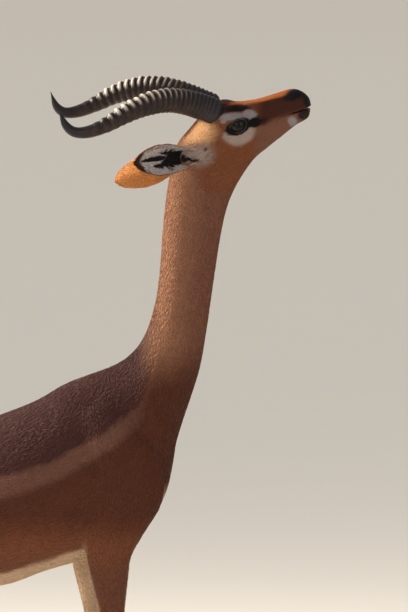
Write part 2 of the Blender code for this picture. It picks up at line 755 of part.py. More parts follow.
def nostril_cutter(name, sign):
    """A long flat egg, thick towards the nose, that runs inward as it goes back."""
    steps, sides = NOSTRIL_GRID
    length, width, height = NOSTRIL_SIZE
    angles = np.linspace(NOSTRIL_END_ANGLE, math.pi - NOSTRIL_END_ANGLE, steps)[:, None]
    turn = np.linspace(0, 2 * math.pi, sides, endpoint=False)
    along = length * np.cos(angles) + 0 * turn
    swell = np.sin(angles) * (1 + NOSTRIL_LEAN * np.cos(angles))
    across = width * swell * np.cos(turn) - NOSTRIL_INWARD * (along + length)
    tall = height * swell * np.sin(turn)
    points = np.stack([
        NOSTRIL_PLACE[0] + along * math.cos(NOSTRIL_TILT) - tall * math.sin(NOSTRIL_TILT),
        sign * (NOSTRIL_PLACE[1] + across),
        NOSTRIL_PLACE[2] + along * math.sin(NOSTRIL_TILT) + tall * math.cos(NOSTRIL_TILT),
    ], axis=2)
    return as_cutter(loft_object(name, place_on_head(points)))


def mouth_cutter(name, low_y, high_y, first_share):
    """A thin wedge along the line of the lips, from first_share of the way to the front."""
    line = np.array([MOUTH_CORNER, MOUTH_MIDDLE, MOUTH_FRONT], float)
    places = np.linspace(first_share, 1, MOUTH_STEPS) * (len(line) - 1)
    middle = smooth_row(line, places)
    opening = smooth_row(np.array(MOUTH_HALF_OPEN)[:, None], places)[:, 0]
    rings = [
        [(x, low_y, z - half), (x, high_y, z - half), (x, high_y, z + half), (x, low_y, z + half)]
        for (x, z), half in zip(middle, opening)
    ]
    return as_cutter(loft_object(name, place_on_head(rings)))


def horn_stations():
    """Places along the horn, with the crest and the valley of each ring, as distance and ring height."""
    line = smooth_row(np.array(HORN_LINE, float), np.linspace(0, len(HORN_LINE) - 1, HORN_LINE_STEPS))
    length = np.concatenate([[0], np.cumsum(np.linalg.norm(np.diff(line, axis=0), axis=1))])
    start = HORN_ROOT_SHARE * length[-1]
    ring_total = int(math.log(1 + HORN_RING_GROWTH * HORN_RING_END / HORN_RING_FIRST) / HORN_RING_GROWTH)
    places = [0.0, HORN_ROOT_STEP * start]
    height = [0.0, 0.0]
    for number in range(ring_total):
        for part, rise in ((0.0, 0.0), (HORN_CREST_SHARE, 1.0)):
            reach = (math.exp(HORN_RING_GROWTH * (number + part)) - 1) * HORN_RING_FIRST / HORN_RING_GROWTH
            places.append(start + reach)
            grow = min(1.0, HORN_FIRST_RISE + HORN_RISE_GROWTH * reach / HORN_RING_END)
            fade = min(1.0, (ring_total - number) / HORN_FADE_RINGS)
            height.append(rise * grow * fade)
    last = places[-1]
    for step in range(1, HORN_SMOOTH_STEPS + 1):
        places.append(last + (length[-1] - last) * (step / HORN_SMOOTH_STEPS) ** HORN_TIP_CROWDING)
        height.append(0.0)
    return line, length, np.array(places), np.array(height)


def horn_object(name, sign):
    """A tapering oval horn, with rings that stand highest on its front and fade at the back."""
    line, length, places, height = horn_stations()
    centres = np.column_stack([np.interp(places, length, line[:, axis]) for axis in range(3)])
    share = np.clip((places / length[-1] - HORN_ROOT_SHARE) / (1 - HORN_ROOT_SHARE), 0, 1)
    table = np.array(HORN_HALF_DEPTH)[:, None]
    half_depth = np.maximum(smooth_row(table, share * (len(table) - 1))[:, 0], HORN_TIP_RADIUS)
    half_depth[:2] *= HORN_ROOT_SIZE
    half_width = half_depth * (HORN_FLATNESS + (1 - HORN_FLATNESS) * share)
    tangent = np.gradient(centres, axis=0)
    tangent /= np.linalg.norm(tangent, axis=1)[:, None]
    front = np.cross(np.array([0.0, 1.0, 0.0]), tangent)
    front /= np.linalg.norm(front, axis=1)[:, None]
    side_way = np.cross(tangent, front)
    turn = np.linspace(0, 2 * math.pi, HORN_SIDES, endpoint=False)
    facing = HORN_BACK_SHARE + (1 - HORN_BACK_SHARE) * (0.5 + 0.5 * np.cos(turn))
    ringed = (share < HORN_RINGED_SHARE) & (share > 0)
    ripple = HORN_RING_HEIGHT * height - HORN_VALLEY_DEPTH * (1 - height) * ringed
    depth = (half_depth[:, None] + ripple[:, None] * facing) * np.cos(turn)
    width = (half_width[:, None] + ripple[:, None] * facing) * np.sin(turn)
    points = centres[:, None, :] + depth[..., None] * front[:, None, :]
    points += width[..., None] * side_way[:, None, :]
    return loft_object(name, place_on_head(points * (1, sign, 1)))


def ear_walls(ear):
    """The outer and the inner wall of an ear, each a grid bent round the line from root to tip."""
    root, tip = np.array(ear["root"], float), np.array(ear["tip"], float)
    along = tip - root
    along_way = along / np.linalg.norm(along)
    opens = np.array(ear["opens"], float)
    opens -= along_way * opens.dot(along_way)
    opens /= np.linalg.norm(opens)
    across_way = np.cross(opens, along_way)
    share = np.linspace(0, 1, EAR_STEPS_ALONG)[:, None]
    half = np.interp(share, *np.array(EAR_HALF_WIDTH).T)
    cup = np.interp(share, *np.array(EAR_CUP).T)
    lean = np.linspace(-1, 1, EAR_STEPS_ACROSS)
    angle = lean * cup
    arc = half / np.sin(np.clip(cup, 0.3, 1.4))
    walls = []
    for wall in (0.5 * EAR_WALL, -0.5 * EAR_WALL):
        radius = arc + wall * (1 - EAR_RIM_THINNING * np.abs(lean) ** 3)
        side_move = radius * np.sin(angle)
        deep = arc * np.cos(cup) - radius * np.cos(angle) - EAR_BEND * np.sin(math.pi * share)
        middle = root + share[..., None] * along
        walls.append(middle + side_move[..., None] * across_way + deep[..., None] * opens)
    return walls


def ear_object(name):
    """A leaf-shaped cup: its outer and inner walls, joined along the rim."""
    points = np.concatenate([wall.reshape(-1, 3) for wall in ear_walls(EARS[name])])
    width = EAR_STEPS_ACROSS
    count = EAR_STEPS_ALONG * width
    faces = []
    for row in range(EAR_STEPS_ALONG - 1):
        for col in range(width - 1):
            a = row * width + col
            b = a + 1
            c = b + width
            d = a + width
            faces += [(a, b, c), (a, c, d)]
            faces += [(count + a, count + c, count + b), (count + a, count + d, count + c)]
    rim = [row * width for row in range(EAR_STEPS_ALONG)]
    rim += [(EAR_STEPS_ALONG - 1) * width + col for col in range(1, width)]
    rim += [row * width + width - 1 for row in range(EAR_STEPS_ALONG - 2, -1, -1)]
    rim += [col for col in range(width - 2, 0, -1)]
    for here, there in zip(rim, rim[1:] + rim[:1]):
        faces += [(here, there, count + there), (here, count + there, count + here)]
    return make_object(name, place_on_head(points), faces)


def foot_place(kind, side):
    """Middle of the coronet of one foot."""
    stations = FORE_LIMB if kind == "fore" else HIND_LIMB
    x, y, z = stations[-2][:3]
    sign = 1.0 if side == "left" else -1.0
    return np.array([x + float(stride_shift(kind, side, z)), sign * y, 0.0])


def coronet_cutter(name, foot):
    """A block under the coronet plane, which slopes down to the heel and ends the leg."""
    rise = math.tan(CORONET_SLOPE)
    points = []
    for top in (False, True):
        for x, y in BOX_CORNERS:
            off_x = x * CORONET_BLOCK
            height = CORONET_HEIGHT + rise * off_x if top else -CORONET_BLOCK
            points.append((foot[0] + off_x, foot[1] + y * CORONET_BLOCK, height))
    return as_cutter(make_object(name, points, BOX_FACES))


def claw_object(name, foot, sign):
    """One claw: a flat sole with a pointed toe, and walls that lean back to the sloping coronet."""
    turn = np.linspace(0, 2 * math.pi, CLAW_SIDES, endpoint=False)
    toe = np.cos(turn)
    outline_x = CLAW_LENGTH / 2 * np.where(toe > 0, toe, CLAW_HEEL * toe)
    blunt = np.sqrt(np.maximum(1 - toe ** 2, 0)) * np.where(toe > 0, 1 - CLAW_TOE_POINT * toe ** 2, 1.0)
    outline_y = CLAW_HALF_WIDTH * blunt * np.sign(np.sin(turn))
    outline_y = outline_y * np.where(outline_y * sign < 0, CLAW_INNER_WIDTH, CLAW_OUTER_WIDTH)
    rise = math.tan(CORONET_SLOPE)
    lean = CLAW_LEAN / math.tan(CLAW_TOE_ANGLE)
    middle_y = foot[1] + sign * CLAW_SPREAD
    rings = []
    for level in CLAW_LEVELS:
        narrow = 1.0 - CLAW_SOLE_EDGE * (level == 0) - CLAW_NARROWING * level
        x = outline_x * (1 - CLAW_SHORTENING * level)
        z = level * (CORONET_HEIGHT - GAP + rise * x)
        place_x = foot[0] + FOOT_TO_SOLE + x - lean * z
        rings.append(np.column_stack([place_x, middle_y + narrow * outline_y, z]))
    roof = rings[-1]
    roof[:, 2] = CORONET_HEIGHT - GAP + rise * (roof[:, 0] - foot[0])
    return loft_object(name, np.array(rings))


def dewclaw_object(name, kind, side, sign):
    """A short blunt horn that points down and back from the fetlock."""
    stations = FORE_LIMB if kind == "fore" else HIND_LIMB
    x, y, z = stations[DEWCLAW_FETLOCK][:3]
    middle = np.array([x + float(stride_shift(kind, side, z)), y if side == "left" else -y, z])
    rows = np.array(DEWCLAW_LINE)
    centres = middle + rows[:, :3] * (1, sign, 1)
    return loft_object(name, path_rings(centres, rows[:, 3], rows[:, 3], DEWCLAW_SIDES))


def tail_object(name):
    """The core of the tail, and its stations for the roots of the locks."""
    steps, sides = TAIL_GRID
    table = np.array([(x, 0.0, z, half) for (x, z), half in zip(TAIL_LINE, TAIL_HALF_WIDTH)])
    rows = smooth_row(table, np.linspace(0, len(table) - 1, steps))
    return loft_object(name, path_rings(rows[:, :3], TAIL_FLATNESS * rows[:, 3], rows[:, 3], sides)), rows


def lock_object(name, start, way, down, length):
    """A flat tapered lock that leaves along its way and bends down to hang."""
    share = np.linspace(0, 1, LOCK_STEPS)
    outward = LOCK_OUTWARD * share * (1 - LOCK_RETURN * share)
    centre = start + length * (share[:, None] * down + outward[:, None] * way)
    flat = np.cross(down, way)
    flat /= np.linalg.norm(flat)
    wide = LOCK_HALF_WIDTH * np.interp(share, *np.array(LOCK_SWELL).T)
    deep = LOCK_HALF_THICK * np.interp(share, *np.array(LOCK_THINNING).T)
    sides = [wide[:, None] * flat, deep[:, None] * way, -wide[:, None] * flat, -deep[:, None] * way]
    return loft_object(name, centre[:, None, :] + np.stack(sides, axis=1))


def add_tuft(tail, rows):
    """Sets the locks in turns round the lower tail, each root sunk in the core."""
    draw = np.random.default_rng(LOCK_SEED)
    locks = []
    for number in range(LOCK_COUNT):
        share = LOCK_FIRST + (LOCK_LAST - LOCK_FIRST) * (number / (LOCK_COUNT - 1)) ** LOCK_CROWDING
        row = smooth_row(rows, np.array([share * (len(rows) - 1)]))[0]
        angle = number * LOCK_TURN
        way = np.array([math.cos(angle), math.sin(angle), 0.0])
        start = row[:3] + way * row[3] * LOCK_SINK[0] + np.array([0, 0, LOCK_SINK[1]])
        down = np.array(LOCK_HANG) + LOCK_SPREAD * way
        down /= np.linalg.norm(down)
        least, spread, shortening = LOCK_LENGTH_RANGE
        length = LOCK_LENGTH * (least + spread * draw.random()) * (1.0 - shortening * share)
        locks.append(lock_object("lock_%02d" % number, start, way, down, length))
    return unite(tail, locks)


def slab_cutter(name, centre, facing, half_size):
    """A thin flat box, as thick as the gap, square to the way it faces."""
    facing = Vector(facing).normalized()
    across = Vector((0, 1, 0))
    along = across.cross(facing).normalized()
    points = []
    for depth in (-GAP / 2, GAP / 2):
        for u, v in BOX_CORNERS:
            off = along * (u * half_size[0]) + across * (v * half_size[1]) + facing * depth
            points.append(Vector(centre) + off)
    return as_cutter(make_object(name, points, BOX_FACES))


def part_body(body):
    """Cuts the body by thin slabs and names each piece by where it lies."""
    for number, (centre, facing, half_size) in enumerate(PARTING):
        boolean(body, slab_cutter("slab_%d" % number, centre, facing, half_size), "DIFFERENCE")
    found = {}
    for kept in loose_parts(body.data):
        mesh, volume = part_mesh(body.data, kept, "piece")
        points = np.array([v.co for v in mesh.vertices])
        middle = (points.min(axis=0) + points.max(axis=0)) / 2
        name = min(PIECES, key=lambda key: np.linalg.norm(middle - np.array(PIECES[key])))
        if name not in found or volume > found[name][1]:
            found[name] = (mesh, volume)
    bpy.data.objects.remove(body, do_unlink=True)
    nodes = {}
    for name, (mesh, volume) in found.items():
        mesh.name = name
        nodes[name] = link_object(name, mesh)
    return nodes


def cut_head(head):
    for side, sign in (("right", -1), ("left", 1)):
        boolean(head, as_cutter(eye_object("socket_" + side, sign, GAP / MM)), "DIFFERENCE")
        boolean(head, lid_opening("opening_" + side, sign), "DIFFERENCE")
        boolean(head, nostril_cutter("nostril_cut_" + side, sign), "DIFFERENCE")
        low, high = sorted((sign * MOUTH_DEPTH_Y, sign * MOUTH_OUT_Y))
        boolean(head, mouth_cutter("lip_cut_" + side, low, high, 0.0), "DIFFERENCE")
    share = (MOUTH_THROUGH_X - MOUTH_CORNER[0]) / (MOUTH_FRONT[0] - MOUTH_CORNER[0])
    boolean(head, mouth_cutter("mouth_cut", -MOUTH_OUT_Y, MOUTH_OUT_Y, share), "DIFFERENCE")
    return keep_largest(head)


def finish_node(item, material_name):
    material = bpy.data.materials.get(material_name) or make_material(material_name)
    item.data.materials.clear()
    item.data.materials.append(material)
    item.data.shade_smooth()
    item.data.set_sharp_from_angle(angle=SMOOTH_ANGLE)


def centre_model(items):
    """Moves every mesh so that the origin lies on the floor, under the middle of the whole."""
    points = np.concatenate([np.array([v.co for v in item.data.vertices]) for item in items])
    low, high = points.min(axis=0), points.max(axis=0)
    shift = Vector((-(low[0] + high[0]) / 2, -(low[1] + high[1]) / 2, -low[2]))
    for item in items:
        item.data.transform(Matrix.Translation(shift))
    print("shift", [round(value, 6) for value in shift])
    print("size", [round(float(value), 4) for value in high - low])


def main():
    clear_scene()
    body = make_body()
    for kind in ("fore", "hind"):
        for side in ("right", "left"):
            boolean(body, coronet_cutter("coronet_" + kind + side, foot_place(kind, side)), "DIFFERENCE")
    grown = grown_copy(body, "grown_body", GAP)
    nodes = {}
    for side, sign in (("right", -1), ("left", 1)):
        nodes["horn_" + side] = horn_object("horn_" + side, sign)
        nodes["ear_" + side] = ear_object("ear_" + side)
    tail, rows = tail_object("tail")
    nodes["tail"] = add_tuft(tail, rows)
    for item in nodes.values():
        keep_largest(boolean(item, grown, "DIFFERENCE", keep_other=True))
    bpy.data.objects.remove(grown, do_unlink=True)
    nodes.update(part_body(body))
    cut_head(nodes["head"])
    for kind in ("fore", "hind"):
        for side in ("right", "left"):
            pair = [dewclaw_object("dewclaw_%d" % sign, kind, side, sign) for sign in (-1, 1)]
            keep_largest(unite(nodes["leg_%s_%s_lower" % (kind, side)], pair))
    for side, sign in (("right", -1), ("left", 1)):
        nodes["eye_" + side] = eye_object("eye_" + side, sign, 0.0)
        for kind in ("fore", "hind"):
            for claw, out in (("outer", 1), ("inner", -1)):
                name = "hoof_%s_%s_%s" % (kind, side, claw)
                nodes[name] = claw_object(name, foot_place(kind, side), sign * out)
    slots = {
        "head": "coat_head", "neck": "coat_neck", "torso_front": "coat_back", "torso_rear": "coat_flank",
        "tail": "tail_tuft", "ear": "ear", "eye": "eye", "horn": "horn", "hoof": "hoof", "leg": "coat_leg",
    }
    for name, item in nodes.items():
        finish_node(item, slots.get(name, slots.get(name.split("_")[0])))
    centre_model(list(nodes.values()))


main()
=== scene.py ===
import math

import bmesh
import bpy
import numpy as np
from mathutils import Matrix, Vector


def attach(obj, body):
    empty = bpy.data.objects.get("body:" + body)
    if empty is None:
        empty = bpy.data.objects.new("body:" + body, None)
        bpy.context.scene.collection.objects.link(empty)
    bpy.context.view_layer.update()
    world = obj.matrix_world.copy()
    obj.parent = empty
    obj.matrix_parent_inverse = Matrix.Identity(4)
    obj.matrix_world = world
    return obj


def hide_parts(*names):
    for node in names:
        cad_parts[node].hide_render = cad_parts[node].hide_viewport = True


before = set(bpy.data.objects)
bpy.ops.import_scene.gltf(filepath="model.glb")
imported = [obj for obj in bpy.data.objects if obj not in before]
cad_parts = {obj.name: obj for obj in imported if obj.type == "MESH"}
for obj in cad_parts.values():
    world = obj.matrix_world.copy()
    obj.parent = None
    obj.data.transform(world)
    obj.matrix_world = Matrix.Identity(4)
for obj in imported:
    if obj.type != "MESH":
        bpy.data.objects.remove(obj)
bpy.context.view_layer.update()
print("frame loaded")

# The forms are drawn with the origin under the neck, and the finished pieces are moved to the frame.
plan = {"shift": (0.137581, 0.013109, 0.0), "seed": 5}
shift = np.array(plan["shift"])
draw = np.random.default_rng(plan["seed"])


# Shapes as whole numpy arrays.

def meshFrom(name, points, *faceSets):
    # whole arrays of points and of faces, each set with its own number of corners, go into a mesh
    faceSets = [np.asarray(faces, dtype=np.int32) for faces in faceSets if len(faces)]
    corners = np.concatenate([faces.ravel() for faces in faceSets])
    sizes = np.concatenate([np.full(len(faces), faces.shape[1]) for faces in faceSets])
    starts = np.concatenate([[0], np.cumsum(sizes)[:-1]])
    mesh = bpy.data.meshes.new(name)
    mesh.vertices.add(len(points))
    mesh.vertices.foreach_set("co", np.ascontiguousarray(points, dtype=np.float32).ravel())
    mesh.loops.add(len(corners))
    mesh.loops.foreach_set("vertex_index", corners.astype(np.int32))
    mesh.polygons.add(len(sizes))
    mesh.polygons.foreach_set("loop_start", starts.astype(np.int32))
    mesh.update(calc_edges=True)
    return mesh


def linkMesh(name, mesh):
    item = bpy.data.objects.new(name, mesh)
    bpy.context.scene.collection.objects.link(item)
    return item


def outward(item):
    # faces that all point out of the closed form
    work = bmesh.new()
    work.from_mesh(item.data)
    bmesh.ops.recalc_face_normals(work, faces=work.faces)
    work.to_mesh(item.data)
    work.free()
    return item


def smoothRow(values, places):
    # a smooth curve through rows of values, read at places from 0 to the last row: each stretch is a cubic
    # whose slope at a row is half the step between the rows on both sides of it
    values = np.asarray(values, float)
    last = len(values) - 1
    first = np.clip(np.floor(places).astype(int), 0, last - 1)
    part = (places - first)[:, None]
    before, here = values[np.clip(first - 1, 0, last)], values[first]
    there, after = values[first + 1], values[np.clip(first + 2, 0, last)]
    square = part * part
    cube = square * part
    return (here * (2 * cube - 3 * square + 1) + (there - before) / 2 * (cube - 2 * square + part)
            + there * (3 * square - 2 * cube) + (after - here) / 2 * (cube - square))


def readSmooth(values, count):
    return smoothRow(values, np.linspace(0, len(values) - 1, count))


def tubeFaces(count, sides):
    # four-sided faces between neighbouring rings of a closed tube
    ring = np.arange(count - 1)[:, None] * sides
    side = np.arange(sides)[None, :]
    ahead = (side + 1) % sides
    return np.stack([ring + side, ring + ahead, ring + sides + ahead, ring + sides + side], 2).reshape(-1, 4)


def fanFaces(first, sides):
    # triangles from the first point of a ring over the rest of it
    step = np.arange(1, sides - 1)
    return np.column_stack([np.full(sides - 2, first), first + step, first + step + 1])


def loftArrays(rings):
    # a closed tube through the rings, with a fan on each end
    count, sides = rings.shape[:2]
    ends = np.concatenate([fanFaces(0, sides)[:, ::-1], fanFaces((count - 1) * sides, sides)])
    return rings.reshape(-1, 3), tubeFaces(count, sides), ends


def joinArrays(parts):
    # several forms, each points with one or more sets of faces, as one
    points, faces, base = [], {}, 0
    for part in parts:
        points.append(part[0])
        for group in part[1:]:
            faces.setdefault(group.shape[1], []).append(group + base)
        base += len(part[0])
    return [np.concatenate(points)] + [np.concatenate(group) for group in faces.values()]


def unit(vectors):
    return vectors / np.maximum(np.linalg.norm(vectors, axis=-1, keepdims=True), 1e-12)


def pathFrame(centres, turnSteps=1):
    # along, depth (near the XZ plane) and width ways of a path; its bends are evened over turnSteps
    along = unit(np.gradient(centres, axis=0))
    edge = turnSteps // 2
    padded = np.concatenate([np.repeat(along[:1], edge, 0), along, np.repeat(along[-1:], edge, 0)])
    window = np.ones(turnSteps) / turnSteps
    along = unit(np.column_stack([np.convolve(padded[:, axis], window, "valid") for axis in range(3)]))
    depthWay = unit(np.cross(np.array([0.0, 1.0, 0.0]), along))
    return along, depthWay, np.cross(along, depthWay)


def pathRings(centres, halfDepth, halfWidth, sides, turnSteps=1):
    # ovals across a path: depth times cosine on one way, width times sine on the other
    along, depthWay, widthWay = pathFrame(centres, turnSteps)
    turn = np.linspace(0, 2 * math.pi, sides, endpoint=False)
    depth = halfDepth[:, None, None] * np.cos(turn)[None, :, None] * depthWay[:, None, :]
    width = halfWidth[:, None, None] * np.sin(turn)[None, :, None] * widthWay[:, None, :]
    return centres[:, None, :] + depth + width


def bump(points, centre, reach):
    # a soft hill: 1 at the centre, falling off with the square of the distance over the reach
    return np.exp(-(((points - np.array(centre)) / np.array(reach)) ** 2).sum(axis=-1))


def applied(item):
    # the item with its modifiers worked into its mesh
    graph = bpy.context.evaluated_depsgraph_get()
    mesh = bpy.data.meshes.new_from_object(item.evaluated_get(graph))
    item.modifiers.clear()
    item.data = mesh
    return item


def meshPoints(mesh):
    points = np.empty(len(mesh.vertices) * 3, dtype=np.float32)
    mesh.vertices.foreach_get("co", points)
    return points.reshape(-1, 3).astype(float)


def meshNormals(mesh):
    normals = np.empty(len(mesh.vertices) * 3, dtype=np.float32)
    mesh.vertex_normals.foreach_get("vector", normals)
    return normals.reshape(-1, 3).astype(float)


def setPoints(mesh, points):
    mesh.vertices.foreach_set("co", points.astype(np.float32).ravel())
    mesh.update()


def addAttribute(mesh, name, values):
    # one vector for each point, for the material to read
    store = mesh.attributes.new(name, "FLOAT_VECTOR", "POINT")
    store.data.foreach_set("vector", values.astype(np.float32).ravel())


# The forms of the body: trunk and neck, head, legs and tail.

trunk = {
    # back outline from the tail root to the nape, and the under line that faces it, as x and z
    "back": (
        (-0.648, 0.786), (-0.625, 0.820), (-0.575, 0.843), (-0.515, 0.850), (-0.445, 0.850), (-0.370, 0.857),
        (-0.300, 0.873), (-0.225, 0.902), (-0.155, 0.930), (-0.095, 0.965), (-0.045, 0.985), (-0.005, 0.999),
        (0.022, 1.011), (0.044, 1.026), (0.061, 1.043), (0.074, 1.062), (0.085, 1.086), (0.095, 1.117),
        (0.105, 1.162), (0.112, 1.225), (0.117, 1.297), (0.123, 1.356), (0.130, 1.404), (0.142, 1.452),
        (0.170, 1.500)),
    "under": (
        (-0.655, 0.745), (-0.622, 0.690), (-0.560, 0.640), (-0.480, 0.600), (-0.390, 0.552), (-0.310, 0.527),
        (-0.220, 0.532), (-0.135, 0.562), (-0.060, 0.583), (0.000, 0.598), (0.050, 0.619), (0.095, 0.672),
        (0.125, 0.730), (0.139, 0.788), (0.148, 0.842), (0.166, 0.900), (0.183, 0.950), (0.199, 1.005),
        (0.213, 1.085), (0.226, 1.175), (0.240, 1.268), (0.253, 1.332), (0.268, 1.373), (0.290, 1.409),
        (0.318, 1.450)),
    # half width of each section, and how far its widest place lies towards the belly
    "halfWidth": (
        0.030, 0.066, 0.092, 0.103, 0.104, 0.110, 0.120, 0.125, 0.121, 0.113, 0.106, 0.099, 0.092, 0.086,
        0.080, 0.074, 0.068, 0.063, 0.058, 0.054, 0.051, 0.049, 0.048, 0.046, 0.028),
    "pear": (
        0.0, 0.0, 0.1, 0.15, 0.2, 0.3, 0.35, 0.4, 0.4, 0.45, 0.5, 0.45, 0.35, 0.25,
        0.1, 0.0, -0.05, -0.08, -0.1, -0.1, -0.1, -0.1, -0.08, 0.0, 0.0),
    "grid": (140, 56),
}
limbs = {
    # stations down each limb: x, y out from the middle, z, half depth and half width
    "fore": (
        (-0.040, 0.060, 0.915, 0.036, 0.018), (-0.012, 0.074, 0.860, 0.066, 0.032),
        (0.026, 0.082, 0.790, 0.088, 0.040), (0.030, 0.088, 0.715, 0.086, 0.044),
        (0.006, 0.090, 0.650, 0.068, 0.039), (-0.003, 0.089, 0.605, 0.051, 0.033),
        (0.000, 0.087, 0.550, 0.0405, 0.028), (0.006, 0.085, 0.475, 0.0268, 0.0225),
        (0.008, 0.083, 0.415, 0.0215, 0.0190), (0.010, 0.082, 0.370, 0.0190, 0.0175),
        (0.013, 0.082, 0.345, 0.0208, 0.0195), (0.014, 0.082, 0.322, 0.0212, 0.0196),
        (0.010, 0.082, 0.292, 0.0165, 0.0150), (0.009, 0.082, 0.210, 0.0140, 0.0122),
        (0.009, 0.082, 0.130, 0.0138, 0.0125), (0.009, 0.082, 0.096, 0.0192, 0.0165),
        (0.019, 0.082, 0.066, 0.0150, 0.0155), (0.027, 0.082, 0.040, 0.0185, 0.0180),
        (0.031, 0.082, 0.022, 0.0180, 0.0180)),
    "hind": (
        (-0.545, 0.050, 0.800, 0.060, 0.034), (-0.545, 0.066, 0.740, 0.096, 0.044),
        (-0.535, 0.076, 0.675, 0.108, 0.047), (-0.512, 0.084, 0.605, 0.097, 0.045),
        (-0.500, 0.090, 0.550, 0.078, 0.039), (-0.525, 0.091, 0.490, 0.055, 0.031),
        (-0.565, 0.090, 0.435, 0.037, 0.024), (-0.610, 0.088, 0.380, 0.0255, 0.0185),
        (-0.645, 0.087, 0.338, 0.0260, 0.0185), (-0.651, 0.087, 0.305, 0.0245, 0.0180),
        (-0.648, 0.087, 0.270, 0.0190, 0.0150), (-0.643, 0.087, 0.200, 0.0155, 0.0130),
        (-0.638, 0.087, 0.130, 0.0150, 0.0130), (-0.634, 0.087, 0.096, 0.0200, 0.0170),
        (-0.623, 0.087, 0.066, 0.0155, 0.0160), (-0.614, 0.087, 0.040, 0.0190, 0.0185),
        (-0.610, 0.087, 0.022, 0.0185, 0.0185)),
    "tendon": (
        (-0.585, 0.090, 0.475, 0.010, 0.010), (-0.632, 0.088, 0.410, 0.0075, 0.0075),
        (-0.664, 0.087, 0.362, 0.0085, 0.0085), (-0.674, 0.087, 0.338, 0.0110, 0.0110),
        (-0.668, 0.087, 0.312, 0.0080, 0.0100)),
    # how far each limb is set forward, growing from the first height to the second
    "stride": {"fore1": -0.034, "fore-1": 0.004, "hind1": -0.042, "hind-1": 0.030},
    "strideSpan": {"fore": (0.860, 0.600), "hind": (0.760, 0.100)},
    "grid": (90, 24), "tendonGrid": (20, 12), "turnSteps": 21,
}
head = {
    # in its own frame in millimetres, x to the nose and z to the brow:
    # x, top, bottom, half width, push of the widest place to the jaw
    "stations": (
        (-60, -8, -60, 30, 0.0), (-42, 13, -90, 39, 0.0), (-20, 28, -104, 44, 0.0), (6, 46, -104, 47, 0.0),
        (34, 62, -100, 47, -0.1), (60, 70, -93, 44.5, -0.15), (80, 68, -86, 42, -0.15),
        (98, 60, -76, 39.5, -0.15), (118, 55.5, -67, 35.5, -0.1), (140, 53, -56, 30.5, 0.0),
        (165, 52.5, -45, 26.5, 0.0), (190, 53.5, -34, 23.5, 0.0), (210, 54, -26, 22, 0.0),
        (226, 51, -22, 21.5, 0.05), (238, 43, -18, 19, 0.0), (245, 35, -6, 15, 0.0), (251, 25, 7, 8, 0.0)),
    "grid": (90, 56), "place": (0.198, 0.0, 1.490), "pitch": 16, "roll": 11, "yaw": 3.5,
    # swellings and hollows: centre, reach, and height above the plain form
    "swells": (
        ((50, 27, 60), (21, 18, 18), 11.0), ((88, 40, 44), (26, 14, 10), 4.5),
        ((74, 46, -14), (34, 20, 12), 3.0), ((34, 46, -58), (36, 24, 34), 3.5),
        ((104, 34, -20), (26, 20, 18), -2.0), ((126, 34, 20), (9, 12, 9), -2.5),
        ((150, 28, 12), (24, 14, 22), -1.5), ((205, 22, 16), (20, 12, 12), 1.8),
        ((236, 16, 20), (9, 12, 12), 1.5), ((222, 15, -12), (14, 12, 10), 1.5),
        ((76, 0, 76), (12, 16, 12), 3.0)),
    # finer relief on the skin, as centre, reach and height along the skin's normal
    "relief": (
        ((88, 46, 37), (22, 12, 4.0), 1.5), ((88, 46, -3), (24, 12, 3.5), 0.9),
        ((118, 40, 17), (5, 10, 4.5), -1.2), ((133, 34, 12), (10, 12, 5), -1.2),
        ((221, 24, 46), (15, 7, 3.6), 1.3), ((222, 27, 31), (13, 7, 3.6), 1.4),
        ((160, 28, 26), (34, 12, 8), -0.8), ((176, 24, -8), (26, 10, 4), 0.9),
        ((150, 12, 52), (44, 5, 9), 0.7), ((60, 48, -38), (40, 14, 9), 1.0),
        ((18, 50, -20), (14, 14, 18), -1.2), ((243, 0, 22), (8, 2.2, 16), -1.0),
        ((214, 20, -14), (16, 12, 7), 0.9), ((108, 26, 58), (16, 8, 8), 0.8)),
    "eyePlace": (85, 28.5, 16.5), "eyeRadius": 20.5, "lidThickness": 2.6, "lidSoftness": 2.0,
    "lidFromMiddle": 10, "eyeHalfLength": 18.5, "eyeHalfHeight": 13.5, "eyeTilt": 16, "lidPoint": 1.25,
    "nostrilPlace": (221, 19.5, 39), "nostrilSize": (15, 6.5, 5), "nostrilTilt": 6,
    "mouth": ((163, -3), (200, 5), (262, 2)), "mouthOpen": (0.5, 1.0, 5.0), "mouthDepth": 13,
    "mouthThrough": 226,
    # the eye socket's room, the lid opening as place out and size, and the nostril's swell and lean
    "socketGap": 0.3, "lidCut": ((2, 0.97), (34, 1.08)), "nostrilSwell": 0.45, "nostrilLean": 0.098,
}
tail = {
    "line": ((-0.628, 0.798), (-0.648, 0.796), (-0.670, 0.778), (-0.683, 0.738), (-0.688, 0.684),
             (-0.688, 0.625), (-0.685, 0.572), (-0.681, 0.540)),
    "halfWidth": (0.015, 0.0150, 0.0140, 0.0120, 0.0100, 0.0085, 0.0070, 0.0035),
    "flatness": 0.85, "grid": (28, 16),
}
sideSigns = {"right": -1, "left": 1}


def headMatrix():
    turn = (Matrix.Rotation(-math.radians(head["pitch"]), 4, "Y")
            @ Matrix.Rotation(math.radians(head["yaw"]), 4, "Z")
            @ Matrix.Rotation(math.radians(head["roll"]), 4, "X"))
    return np.array(Matrix.Translation(head["place"]) @ turn @ Matrix.Scale(0.001, 4))


def fromHead(points):
    # head frame in millimetres to the drawing in metres
    points = np.asarray(points, float)
    matrix = headMatrix()
    return points @ matrix[:3, :3].T + matrix[:3, 3]


def toHead(points):
    # the drawing in metres to the head frame in millimetres
    matrix = np.linalg.inv(headMatrix())
    return points @ matrix[:3, :3].T + matrix[:3, 3]


